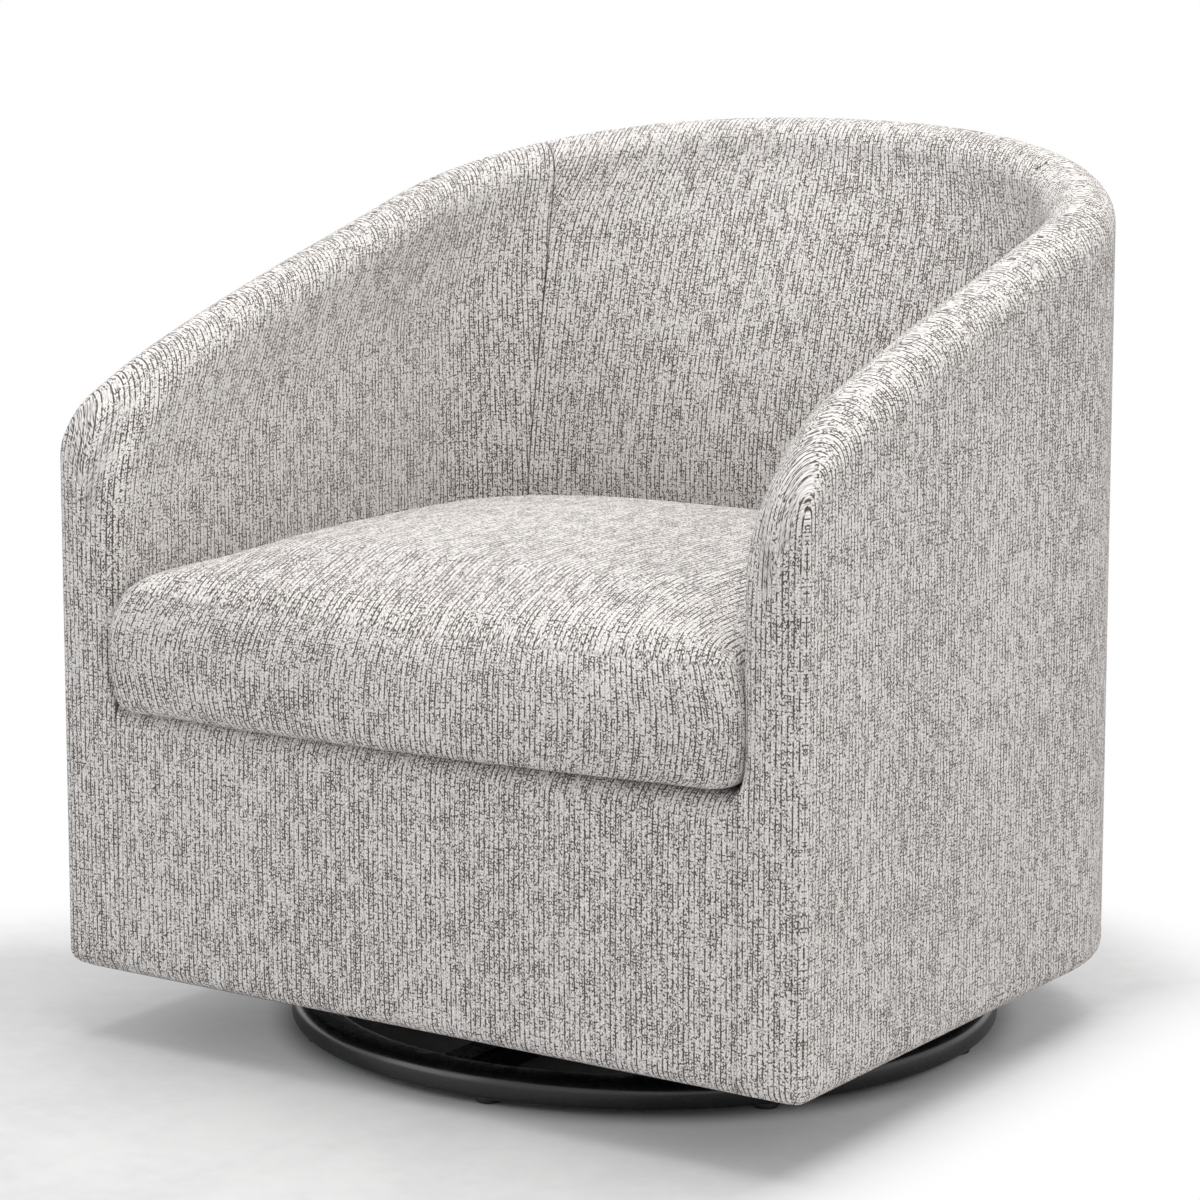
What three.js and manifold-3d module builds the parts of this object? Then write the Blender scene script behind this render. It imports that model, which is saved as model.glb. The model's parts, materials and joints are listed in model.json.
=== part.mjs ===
// Barrel swivel rocker: an upholstered horseshoe shell on a spring rocker and a ball-bearing ring base.
// Millimetres, +Z up. The origin is on the floor, on the swivel axis. The chair faces -Y.
import * as THREE from 'three';
import * as BufferGeometryUtils from 'three/addons/utils/BufferGeometryUtils.js';
import Module from 'manifold-3d';

const wasm = await Module();
wasm.setup();

// Fits shared by all pieces
const gap = 0.3; // between touching pieces
const overrun = 5; // how far a cut runs past the face it opens
const weld = 1e-4; // points nearer than this are one
const softGap = 2; // between the loose cushion and the upholstery round it

// Shell: plan and heights
const width = 750;
const depth = 700;
const height = 787; // crest at the middle of the back
const bottomZ = 64; // underside of the upholstery
const armFrontZ = 564; // crest line produced to the front face
const crestBowShare = 0.019; // slow S of the crest line between front and back
const crestArchShare = 0.01; // lift of the crest line half way
const backRise = 240; // the rounded back's half axis along Y
const backPowerShare = 2 / 2.2; // superellipse of the outer plan
const wall = 61; // thickness of arms and back at the crest
const rollHeight = 30; // height of the rolled crest
const armOuterNose = 38; // radius of the arm's front top corner, outer edge
const armInnerNose = 110; // the same on the seat side
const frontEdgeOuter = 8; // rounding of the arm front's vertical edges
const frontEdgeInner = 20;
const hemRadius = 14; // rounding of the lower edge
const seatBackSet = 145; // behind the inside back at seat height
const seatBackY = depth / 2 - seatBackSet;
const seatRise = 165; // half axis of the inside plan at seat height
const seatPowerShare = 2 / 4.55;
const loungeRise = 127; // above the rail the inside back starts to lean
const lumbar = 9; // swell of the inside back
const frontSteps = [0, 2, 7, 16, 30, 55, 90, 140, 200]; // stations behind the arm front
const frontHalfY = -depth / 2;
const crestBackY = depth / 2 - wall / 2; // middle of the rolled crest at the back
const wallEnd = 0.35; // half the gap at the seams between arms and back, along the plan

// Front rail
const railTopZ = 303;
const loungeZ = railTopZ + loungeRise;
const railPad = 10; // foam and cloth over the boards
const railEdge = 12;
const railReturn = 34; // how far the rail's cloth turns in over the board
const railBoard = 22;
const railHook = 24; // how far the cloth comes down behind the board

// Timber frame
const board = 18; // plywood of the arm and back frames
const boardFootZ = 67;
const boardCrest = 45; // the boards end this far below the crest
const boardFrontSet = 28; // behind the arm fronts
const boardFrontY = frontHalfY + boardFrontSet;
const windowWidth = 72; // lightening holes in the frame boards
const windowPitch = 126;
const windowMargin = 34;
const windowLowZ = 110;
const windowHighZ = 235;
const windowRadius = 20;
const deckSet = 18; // the inside padding ends this far below the rail's top
const deckUnderZ = railTopZ - deckSet;
const crossRailWidth = 45;
const crossRailHeight = 42;
const crossRailY = 85;
const backRailThick = 22;
const backRailHeight = 64;
const backRailSet = 190; // from the outer back to the back rail's front face
const backRailY = depth / 2 - backRailSet;

// Seat springs, deck and cushion
const springWire = 3.8;
const springCount = 4;
const springPitch = 124; // between neighbouring seat springs
const springWave = 56; // length of one wave
const springReach = 19; // half the width of a wave
const springBow = 6; // crown of each seat spring
const springHold = 26; // straight end on the rail
const deckThick = 17.6;
const deckClear = 3; // between the deck and the padding round it
const cushionEdge = 105; // height of the cushion's border
const cushionCrown = 47;
const cushionCorner = 34;
const cushionTuck = 11; // how far the seams draw in
const cushionFoot = 15; // height of the rounded lower edge
const cushionFrontSet = 4; // behind the arm fronts
const crownPower = 2.8;
const dustInset = 15;
const dustThick = 1;
const dustHole = 150;

// Ring base
const ringRadius = 316;
const ringWidth = 32;
const ringHeight = 22;
const ringEdge = 7;
const glideRadius = 11;
const glideHeight = 5.7;
const glideTaper = 2;
const glideCount = 8;
const glideTurn = THREE.MathUtils.degToRad(8);
const armBarWidth = 32;
const armBarStart = 28;
const barChamfer = 3;

// Ball bearing and kingpin
const plateSide = 230;
const plateThick = 4;
const plateCorner = 26;
const raceRadius = 81;
const raceWidth = 24;
const raceHeight = 4;
const ballRadius = 4.5;
const grooveDepth = 1.5;
const ballCount = 14;
const cageThick = 1.4;
const cageWidth = 12;
const kingRadius = 8;
const kingHole = 8.4;
const kingHeadRadius = 13;
const kingHeadHeight = 8.5;
const kingTail = 2.4; // thread standing above the nut
const washerRadius = 16;
const washerThick = 2.5;
const nutHeight = 10;

// Spring rocker
const pivotRise = 26; // rock pin above the upper plate
const pinRadius = 6;
const pinClear = 0.1;
const earX = 84; // inner face of the pivot brackets
const earThick = 4;
const earWidth = 46;
const earTop = 13; // steel above the pin centre
const footWidth = 30;
const footLength = 64;
const footBoltRadius = 5;
const footBoltHead = 5;
const flangeX = 92.4;
const flangeThick = 4;
const flangeWidth = 60;
const flangeDrop = 12; // steel below the pin centre
const rockerRise = 45; // underside of the rocker plate above the upper plate
const rockerWidth = 250;
const rockerDepth = 254;
const rockerThick = 4;
const rockerCorner = 18;
const rockerHole = 22;
const clipRadius = 10;
const clipThick = 2;
const pinTail = 3;
const stopY = 112; // stop flanges and bumpers
const stopRise = 17.5;
const stopWidth = 126;
const stopThick = 4;
const bumperX = 45;
const bumperRadius = 11;
const bumperTip = 7;
const bumperHeight = 17;
const coilX = 52;
const coilY = 78;
const coilRadius = 15;
const coilWire = 5;
const coilTurns = 5;
const coilSteps = 8;
const coilSides = 5;
const seatBoss = 9.5; // boss inside each coil spring
const seatBossRise = 5;
const boltX = 100;
const boltRadius = 4;
const boltHole = 4.4;
const boltHead = 7;
const boltHeadHeight = 5;
const boltReach = 24;

// Heights that follow from the sizes above
const ringZ = glideHeight + gap;
const ringTopZ = ringZ + ringHeight;
const lowerPlateZ = ringTopZ + gap;
const lowerRaceZ = lowerPlateZ + plateThick + raceHeight;
const ballZ = lowerRaceZ - grooveDepth + gap + ballRadius;
const upperRaceZ = ballZ + ballRadius + gap - grooveDepth;
const upperPlateZ = upperRaceZ + raceHeight;
const upperTopZ = upperPlateZ + plateThick;
const pivotZ = upperTopZ + pivotRise;
const rockerZ = upperTopZ + rockerRise;
const crossRailZ = rockerZ + rockerThick + gap;
const springRailZ = deckUnderZ - gap - springWire - springBow - gap;
const springZ = springRailZ + gap + springWire / 2;
const deckZ = deckUnderZ + gap;
const deckTopZ = deckZ + deckThick;
const cushionZ = railTopZ + gap;

// Finishes
const paint = { color: 0x101114, roughness: 0.28, metalness: 0.55 };
const steel = { color: 0x9a9da1, roughness: 0.35, metalness: 0.95 };
const timber = { color: 0xb99468, roughness: 0.75, metalness: 0 };
const plywood = { color: 0xcaa67a, roughness: 0.8, metalness: 0 };
const rubber = { color: 0x17171a, roughness: 0.9, metalness: 0 };
const cloth = { color: 0xcfcbc5, roughness: 0.95, metalness: 0 };
const lining = { color: 0x1b1b1d, roughness: 0.95, metalness: 0 };
const plastic = { color: 0x131315, roughness: 0.5, metalness: 0 };

// Solids

function toSolid(geometry) {
  const bare = geometry.clone();
  bare.deleteAttribute('normal');
  bare.deleteAttribute('uv');
  const merged = BufferGeometryUtils.mergeVertices(bare, weld);
  const vertProperties = new Float32Array(merged.attributes.position.array);
  const triVerts = new Uint32Array(merged.index.array);
  return new wasm.Manifold(new wasm.Mesh({ numProp: 3, vertProperties, triVerts }));
}

function toGeometry(solid) {
  const mesh = solid.getMesh();
  const geometry = new THREE.BufferGeometry();
  geometry.setAttribute('position', new THREE.BufferAttribute(new Float32Array(mesh.vertProperties), 3));
  geometry.setIndex(new THREE.BufferAttribute(new Uint32Array(mesh.triVerts), 1));
  geometry.computeVertexNormals();
  return geometry;
}

function joined(...geometries) {
  return toGeometry(geometries.map(toSolid).reduce((sum, solid) => sum.add(solid)));
}

function cut(geometry, ...tools) {
  return toGeometry(tools.map(toSolid).reduce((rest, tool) => rest.subtract(tool), toSolid(geometry)));
}

function at(geometry, x, y, z) {
  return geometry.clone().translate(x, y, z);
}

// A box by its lowest and highest corners
function block(x0, y0, z0, x1, y1, z1) {
  const geometry = new THREE.BoxGeometry(x1 - x0, y1 - y0, z1 - z0);
  return geometry.translate((x0 + x1) / 2, (y0 + y1) / 2, (z0 + z1) / 2);
}

// An upright round bar from z0 to z1
function rod(radius, z0, z1, sides = 24) {
  const geometry = new THREE.CylinderGeometry(radius, radius, z1 - z0, sides);
  return geometry.rotateX(Math.PI / 2).translate(0, 0, (z0 + z1) / 2);
}

// A solid of revolution about Z from points [radius, z] that close on themselves
function turned(points, segments) {
  const profile = points.map(([r, z]) => new THREE.Vector2(r, z));
  profile.push(profile[0].clone());
  return new THREE.LatheGeometry(profile, segments).rotateX(Math.PI / 2);
}

function roundedRectangle(halfX, halfY, radius) {
  const shape = new THREE.Shape();
  shape.moveTo(-halfX + radius, -halfY);
  shape.lineTo(halfX - radius, -halfY);
  shape.absarc(halfX - radius, -halfY + radius, radius, -Math.PI / 2, 0, false);
  shape.lineTo(halfX, halfY - radius);
  shape.absarc(halfX - radius, halfY - radius, radius, 0, Math.PI / 2, false);
  shape.lineTo(-halfX + radius, halfY);
  shape.absarc(-halfX + radius, halfY - radius, radius, Math.PI / 2, Math.PI, false);
  shape.lineTo(-halfX, -halfY + radius);
  shape.absarc(-halfX + radius, -halfY + radius, radius, Math.PI, Math.PI * 1.5, false);
  return shape;
}

function extruded(shape, z0, z1, curveSegments = 5) {
  const geometry = new THREE.ExtrudeGeometry(shape, { depth: z1 - z0, bevelEnabled: false, curveSegments });
  return geometry.translate(0, 0, z0);
}

// A closed skin through rings of equal length: rings[i][j] is a Vector3, the ends are capped
// by the triangles given for one ring
function lofted(rings, cap) {
  const count = rings[0].length;
  const positions = rings.flat().flatMap((p) => [p.x, p.y, p.z]);
  const index = [];
  for (let i = 0; i + 1 < rings.length; i += 1) {
    for (let j = 0; j < count; j += 1) {
      const a = i * count + j;
      const b = i * count + ((j + 1) % count);
      index.push(a, b, b + count, a, b + count, a + count);
    }
  }
  const last = (rings.length - 1) * count;
  for (const [a, b, c] of cap) {
    index.push(a, c, b);
    index.push(last + a, last + b, last + c);
  }
  const geometry = new THREE.BufferGeometry();
  geometry.setAttribute('position', new THREE.Float32BufferAttribute(positions, 3));
  geometry.setIndex(index);
  return outward(geometry);
}

// Turns every face round if the skin's signed volume is negative
function outward(geometry) {
  const position = geometry.attributes.position;
  const index = geometry.index.array;
  const [a, b, c] = [new THREE.Vector3(), new THREE.Vector3(), new THREE.Vector3()];
  let volume = 0;
  for (let i = 0; i < index.length; i += 3) {
    a.fromBufferAttribute(position, index[i]);
    b.fromBufferAttribute(position, index[i + 1]);
    c.fromBufferAttribute(position, index[i + 2]);
    volume += a.dot(b.cross(c));
  }
  if (volume < 0) {
    for (let i = 0; i < index.length; i += 3) {
      [index[i + 1], index[i + 2]] = [index[i + 2], index[i + 1]];
    }
  }
  geometry.computeVertexNormals();
  return geometry;
}

// Triangles over an outline, wound the way the outline runs
function flatCap(outline) {
  const triangles = THREE.ShapeUtils.triangulateShape(outline, []);
  const clockwise = THREE.ShapeUtils.isClockWise(outline);
  return triangles.map(([a, b, c]) => {
    const turned = THREE.ShapeUtils.isClockWise([outline[a], outline[b], outline[c]]) !== clockwise;
    return turned ? [a, c, b] : [a, b, c];
  });
}

const smooth = (from, to, value) => THREE.MathUtils.smoothstep(value, from, to);
const mix = THREE.MathUtils.lerp;

// Plan of the shell. Each curve runs straight along the arm and turns round the back on a
// superellipse. A station is [part, u]: part 'arm' runs from the front face to the seam,
// part 'back' from the seam to the middle of the back.
const straightShare = 0.62;
const outerPlan = {
  half: width / 2, straightY: depth / 2 - backRise, rise: backRise, power: backPowerShare,
  seam: THREE.MathUtils.degToRad(38),
};
const crestPlan = {
  half: width / 2 - wall, straightY: depth / 2 - backRise, rise: backRise - wall, power: backPowerShare,
  seam: THREE.MathUtils.degToRad(38),
};
const seatPlan = {
  half: width / 2 - wall, straightY: seatBackY - seatRise, rise: seatRise, power: seatPowerShare,
  seam: THREE.MathUtils.degToRad(50),
};

function planPoint(plan, part, u) {
  const length = plan.straightY - frontHalfY;
  if (part === 'arm' && u < straightShare) {
    return new THREE.Vector2(plan.half, frontHalfY + (length * u) / straightShare);
  }
  const share = part === 'arm' ? (u - straightShare) / (1 - straightShare) : u;
  const from = part === 'arm' ? 0 : plan.seam;
  const to = part === 'arm' ? plan.seam : Math.PI / 2;
  const angle = from + (to - from) * share;
  const x = plan.half * Math.pow(Math.max(Math.cos(angle), 0), plan.power);
  const y = plan.straightY + plan.rise * Math.pow(Math.sin(angle), plan.power);
  return new THREE.Vector2(x, y);
}

// Crest height over a plan depth at the middle of the wall, before the arm's nose is rounded
function crestHeight(y) {
  const share = (y - frontHalfY) / (crestBackY - frontHalfY);
  const bent = crestBowShare * Math.sin(2 * Math.PI * share) + crestArchShare * Math.sin(Math.PI * share);
  return mix(armFrontZ, height, share + bent);
}

// How far a rounded front edge lies inside its corner at a plan depth
function edgeDrop(y, radius) {
  const set = Math.min(Math.max(y - frontHalfY, 0), radius);
  return radius - Math.sqrt(radius * radius - (radius - set) * (radius - set));
}

// One station of the shell: plan points of the three curves and the two crest heights
function station(part, u) {
  const outer = planPoint(outerPlan, part, u);
  const crest = planPoint(crestPlan, part, u);
  const seat = planPoint(seatPlan, part, u);
  const crestZ = crestHeight((outer.y + crest.y) / 2);
  return {
    outer, crest, seat, thick: outer.distanceTo(crest),
    outerTop: crestZ - edgeDrop(outer.y, armOuterNose),
    innerTop: crestZ - edgeDrop(outer.y, armInnerNose),
    outerInset: edgeDrop(outer.y, frontEdgeOuter),
    innerInset: edgeDrop(outer.y, frontEdgeInner),
    belly: part === 'back' ? Math.sin((Math.PI / 2) * Math.min(u, 1)) : 0,
  };
}

const crestSteps = 8;
const hemTurnShares = [0, 0.5, 1];
const innerLevelShares = [0.86, 0.62, 0.34, 0];

// Cross-section of the padding at a station, as [share across, lean, z] from the hem up the
// outside, over the crest and down the inside
function padSection(s) {
  const points = [];
  const from = s.outerInset / s.thick;
  const to = 1 - s.innerInset / s.thick;
  for (const turn of hemTurnShares) {
    const angle = (turn * Math.PI) / 2;
    const inset = (hemRadius * (1 - Math.sin(angle))) / s.thick;
    points.push([from + inset, 0, bottomZ + hemRadius * (1 - Math.cos(angle))]);
  }
  for (let i = 0; i <= crestSteps; i += 1) {
    const angle = (Math.PI * i) / crestSteps;
    const across = (1 - Math.cos(angle)) / 2;
    const base = mix(s.outerTop, s.innerTop, across) - rollHeight;
    points.push([mix(from, to, across), 0, base + rollHeight * Math.sin(angle)]);
  }
  const shoulder = s.innerTop - rollHeight;
  for (const share of innerLevelShares) {
    const z = mix(loungeZ, shoulder, share);
    const swell = (lumbar * s.belly * Math.sin(Math.PI * share)) / s.thick;
    points.push([to + swell, 1 - share, z]);
  }
  const square = railTopZ + frontEdgeInner;
  points.push([to, 1, square]);
  points.push([1, 1, railTopZ - gap]);
  points.push([1, 1, bottomZ]);
  return points;
}

// Places a section point: across the wall between the outer curve and the inside at its lean
function placed(s, side, [across, lean, z]) {
  const inner = s.crest.clone().lerp(s.seat, lean);
  const p = s.outer.clone().lerp(inner, across);
  return new THREE.Vector3(side * p.x, p.y, z);
}

// The two faces at a seam take the same triangles, so that they follow each other
function seamCap(section) {
  const outline = section(station('arm', 1));
  return flatCap(outline.map(([across, lean, z]) => new THREE.Vector2(across * wall, z)));
}

function shellSolid(stations, side, section) {
  const rings = stations.map((s) => section(s).map((point) => placed(s, side, point)));
  return lofted(rings, seamCap(section));
}

const armLength = outerPlan.straightY - frontHalfY;
const seamSlip = wallEnd / (width / 2);
const armCurveShares = [0.72, 0.8, 0.86, 0.91, 0.955];
const backShares = [0.09, 0.2, 0.33, 0.48, 0.65, 0.83, 1];

function armStations(toSeam) {
  const front = frontSteps.map((step) => (step / armLength) * straightShare);
  const rest = [mix(front[front.length - 1], straightShare, 1 / 2), straightShare, ...armCurveShares];
  return [...front, ...rest, toSeam].map((u) => station('arm', u));
}

function backHalf(before = []) {
  return [...before, seamSlip, ...backShares].map((u) => station('back', u));
}

// The back is swept from the right seam over the middle to the left seam
function backSolid(section, before = []) {
  const half = backHalf(before);
  const sides = [...half.map((s) => [s, 1]), ...half.slice(0, -1).reverse().map((s) => [s, -1])];
  const rings = sides.map(([s, side]) => section(s).map((point) => placed(s, side, point)));
  return lofted(rings, seamCap(section));
}

// A band of the wall between two depths from the outer face, from z0 up to a height below the crest
function bandSection(from, to, z0, belowCrest) {
  return (s) => {
    const top = s.innerTop - belowCrest;
    const [a, b] = [from / s.thick, to / s.thick];
    return [[a, 0, z0], [a, 0, top], [b, 0, top], [b, 0, z0]];
  };
}

// The room below the inside padding, from the board inwards
function underSection(s) {
  const from = (railPad + board + gap) / s.thick;
  const past = 1 + overrun / wall;
  const low = bottomZ - overrun;
  return [[from, 0, low], [from, 0, deckUnderZ], [past, 1, deckUnderZ], [past, 1, low]];
}

const boardStart = (boardFrontY - frontHalfY) / armLength * straightShare;
const pocketStart = (boardFrontY - gap - frontHalfY) / armLength * straightShare;
const seamPastShare = 1.02;
const boardMiddleShares = [0.2, 0.4, straightShare, ...armCurveShares];

function boardStations(before = [], after = []) {
  const shares = [...before, boardStart, ...boardMiddleShares, 1 - seamSlip, ...after];
  return shares.map((u) => station('arm', u));
}

// What the paddings leave free: a pocket round each frame board and the room below the deck
const boardRoom = bandSection(railPad - gap, railPad + board + gap, boardFootZ - gap, boardCrest - gap);
const freeRooms = [boardRoom, underSection].flatMap((section) => [
  shellSolid(boardStations([pocketStart], [seamPastShare]), 1, section),
  shellSolid(boardStations([pocketStart], [seamPastShare]), -1, section),
  backSolid(section, [1 - seamPastShare]),
]);

function armPad(side) {
  return cut(shellSolid(armStations(1 - seamSlip), side, padSection), ...freeRooms);
}

function backPad() {
  return cut(backSolid(padSection), ...freeRooms);
}

// An upright hole through a board, its corners rounded
function windowHole(z0, z1, reach) {
  const hole = extruded(roundedRectangle(windowWidth / 2, (z1 - z0) / 2, windowRadius), -reach, reach, 3);
  return hole.rotateX(Math.PI / 2).translate(0, 0, (z0 + z1) / 2);
}

function armFrame(side) {
  const plank = shellSolid(boardStations(), side,
    bandSection(railPad, railPad + board, boardFootZ, boardCrest));
  const x = width / 2 - railPad - board / 2;
  const first = boardFrontY + windowMargin + windowWidth / 2;
  const windows = [0, 1, 2].flatMap((i) => {
    const y = first + windowPitch * i;
    const nose = i === 0 ? armInnerNose / 2 : 0;
    const high = crestHeight(y - windowWidth / 2) - boardCrest - windowMargin - nose;
    return [[windowLowZ, windowHighZ], [deckUnderZ + windowMargin, high]]
      .map(([z0, z1]) => at(windowHole(z0, z1, board).rotateZ(Math.PI / 2), side * x, y, 0));
  });
  return cut(plank, ...windows);
}

function backFrame() {
  const shell = backSolid(bandSection(railPad, railPad + board, boardFootZ, boardCrest));
  const high = height - boardCrest - windowMargin * 2;
  const windows = [-1, 0, 1].map((i) => at(windowHole(deckUnderZ + windowMargin, high, backRise / 2),
    i * windowPitch, depth / 2, 0));
  return cut(shell, ...windows);
}

// Front rail: cloth and foam wrapped round a timber board
function frontRailPad() {
  const half = crestPlan.half - gap;
  const outline = new THREE.Shape();
  const back = railPad + railBoard + railPad;
  const y = frontHalfY;
  outline.moveTo(y + hemRadius, bottomZ);
  outline.absarc(y + hemRadius, bottomZ + hemRadius, hemRadius, -Math.PI / 2, -Math.PI, true);
  outline.lineTo(y, railTopZ - railEdge);
  outline.absarc(y + railEdge, railTopZ - railEdge, railEdge, Math.PI, Math.PI / 2, true);
  outline.lineTo(y + back, railTopZ);
  outline.lineTo(y + back, railTopZ - railHook);
  outline.lineTo(y + railPad + railBoard + gap, railTopZ - railHook);
  outline.lineTo(y + railPad + railBoard + gap, springRailZ + gap + springWire + gap);
  outline.lineTo(y + railPad - gap, springRailZ + gap + springWire + gap);
  outline.lineTo(y + railPad - gap, boardFootZ - gap);
  outline.lineTo(y + railReturn, boardFootZ - gap);
  outline.lineTo(y + railReturn, bottomZ);
  const geometry = extruded(outline, 0, 2 * half, 4);
  geometry.rotateX(Math.PI / 2).rotateZ(Math.PI / 2).translate(-half, 0, 0);
  return geometry;
}

function frontRailBoard() {
  const half = crestPlan.half - gap - gap;
  const y = frontHalfY + railPad;
  return block(-half, y, boardFootZ, half, y + railBoard, springRailZ);
}

// A rail from board to board whose ends follow the arm frames
function railBetweenBoards(y0, y1, z0, z1) {
  const half = outerPlan.half - railPad - board / 2;
  const ends = [-1, 1].map((side) => shellSolid(boardStations([], [seamPastShare]), side,
    bandSection(-overrun, railPad + board + gap, boardFootZ, boardCrest)));
  return cut(block(-half, y0, z0, half, y1, z1), ...ends);
}

function crossRail(side) {
  const y = side * crossRailY;
  const [near, far] = [y - crossRailWidth / 2, y + crossRailWidth / 2];
  const rail = railBetweenBoards(near, far, crossRailZ, crossRailZ + crossRailHeight);
  const hole = rod(boltHole, -overrun, boltReach + gap, 12);
  const holes = [-1, 1].map((end) => at(hole, end * boltX, y, crossRailZ));
  return cut(rail, ...holes);
}

// Seat spring: flat zigzag wire over the front and back rails
function zigzagSpring(x) {
  const from = frontHalfY + railPad + springWire;
  const to = backRailY + backRailThick - springWire;
  const waves = Math.floor((to - from - 2 * springHold) / springWave);
  const start = (from + to - waves * springWave) / 2;
  const points = [new THREE.Vector3(x, from, springZ)];
  const stepShares = [0, 0.25, 0.5, 0.75];
  for (let i = 0; i < waves; i += 1) {
    for (const share of stepShares) {
      const along = (i + share) / waves;
      const z = springZ + springBow * Math.sin(Math.PI * along);
      const y = start + springWave * (i + share);
      points.push(new THREE.Vector3(x + springReach * Math.sin(2 * Math.PI * share), y, z));
    }
  }
  points.push(new THREE.Vector3(x, start + springWave * waves, springZ));
  points.push(new THREE.Vector3(x, to, springZ));
  return wireAlong(new THREE.CatmullRomCurve3(points), springWire / 2, 5, Math.ceil(points.length * 1.5));
}

function wireAlong(curve, radius, sides, steps) {
  const outline = new THREE.Shape();
  for (let i = 0; i < sides; i += 1) {
    const angle = (2 * Math.PI * i) / sides;
    const x = radius * Math.cos(angle);
    const y = radius * Math.sin(angle);
    if (i === 0) outline.moveTo(x, y);
    else outline.lineTo(x, y);
  }
  outline.closePath();
  return new THREE.ExtrudeGeometry(outline, { steps, extrudePath: curve, bevelEnabled: false });
}

// Plan outline of the seat space at a clearance, anticlockwise from the front middle
function seatOutline(clear, frontY, cornerRadius) {
  const half = seatPlan.half - clear;
  const right = [];
  const corner = 4;
  right.push(new THREE.Vector2(half / 3, frontY), new THREE.Vector2((half * 2) / 3, frontY));
  for (let i = 0; i <= corner; i += 1) {
    const angle = -Math.PI / 2 + (Math.PI / 2) * (i / corner);
    const x = half - cornerRadius + cornerRadius * Math.cos(angle);
    right.push(new THREE.Vector2(x, frontY + cornerRadius + cornerRadius * Math.sin(angle)));
  }
  const sideShares = [0.33, 0.66, 1];
  for (const share of sideShares) {
    right.push(new THREE.Vector2(half, mix(frontY + cornerRadius, seatPlan.straightY, share)));
  }
  const turn = 8;
  for (let i = 1; i < turn; i += 1) {
    const angle = (Math.PI / 2) * (i / turn);
    const x = half * Math.pow(Math.cos(angle), seatPlan.power);
    const y = seatPlan.straightY + (seatPlan.rise - clear) * Math.pow(Math.sin(angle), seatPlan.power);
    right.push(new THREE.Vector2(x, y));
  }
  const left = right.map((p) => new THREE.Vector2(-p.x, p.y)).reverse();
  const back = new THREE.Vector2(0, seatPlan.straightY + seatPlan.rise - clear);
  return [new THREE.Vector2(0, frontY), ...right, back, ...left];
}

function seatDeck() {
  const frontY = frontHalfY + railPad + railBoard + railPad + gap;
  const outline = seatOutline(deckClear, frontY, railEdge);
  return extruded(new THREE.Shape(outline), deckZ, deckTopZ);
}

// Boxed cushion: rounded lower edge, border drawn in at its seams, domed top
function seatCushion() {
  const outline = seatOutline(softGap, frontHalfY + cushionFrontSet, cushionCorner);
  const centre = new THREE.Vector2(0, (frontHalfY + seatBackY) / 2);
  const reach = seatPlan.half - softGap;
  const top = cushionZ + cushionEdge;
  const underShares = [0.5, 0.88];
  const levels = underShares.map((share) => [reach * share, cushionZ]);
  const turnSteps = 3;
  for (let i = 0; i <= turnSteps; i += 1) {
    const angle = (Math.PI / 2) * (i / turnSteps);
    const inset = cushionFoot * (1 - Math.sin(angle));
    levels.push([reach - inset, cushionZ + cushionFoot * (1 - Math.cos(angle))]);
  }
  const borderShares = [0.35, 0.75, 1];
  for (const share of borderShares) {
    levels.push([reach - cushionTuck * share * share, mix(cushionZ + cushionFoot, top, share)]);
  }
  const rimLevels = levels.length;
  const crownShares = [0.93, 0.8, 0.6, 0.35];
  for (const share of crownShares) {
    levels.push([(reach - cushionTuck) * share, top]);
  }
  const halfDepth = centre.y - frontHalfY - cushionFrontSet;
  const rings = levels.map(([radius, z], level) => outline.map((p) => {
    const q = centre.clone().add(p.clone().sub(centre).multiplyScalar(radius / reach));
    const rise = [(q.x / (reach - cushionTuck)), (q.y - centre.y) / halfDepth]
      .map((share) => 1 - Math.pow(Math.min(Math.abs(share), 1), crownPower));
    return new THREE.Vector3(q.x, q.y, level < rimLevels ? z : z + cushionCrown * rise[0] * rise[1]);
  }));
  return domed(rings, new THREE.Vector3(centre.x, centre.y, cushionZ),
    new THREE.Vector3(centre.x, centre.y, top + cushionCrown));
}

// A skin through rings that closes on a point below and one above
function domed(rings, low, high) {
  const count = rings[0].length;
  const body = lofted(rings, []);
  const positions = Array.from(body.attributes.position.array);
  const index = Array.from(body.index.array);
  positions.push(low.x, low.y, low.z, high.x, high.y, high.z);
  const lowest = rings.length * count;
  const last = (rings.length - 1) * count;
  const ascending = index[1] === 1;
  for (let j = 0; j < count; j += 1) {
    const next = (j + 1) % count;
    const foot = ascending ? [lowest, next, j] : [lowest, j, next];
    const [from, to] = ascending ? [j, next] : [next, j];
    const peak = [lowest + 1, last + from, last + to];
    index.push(...foot, ...peak);
  }
  const geometry = new THREE.BufferGeometry();
  geometry.setAttribute('position', new THREE.Float32BufferAttribute(positions, 3));
  geometry.setIndex(index);
  return outward(geometry);
}

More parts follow.
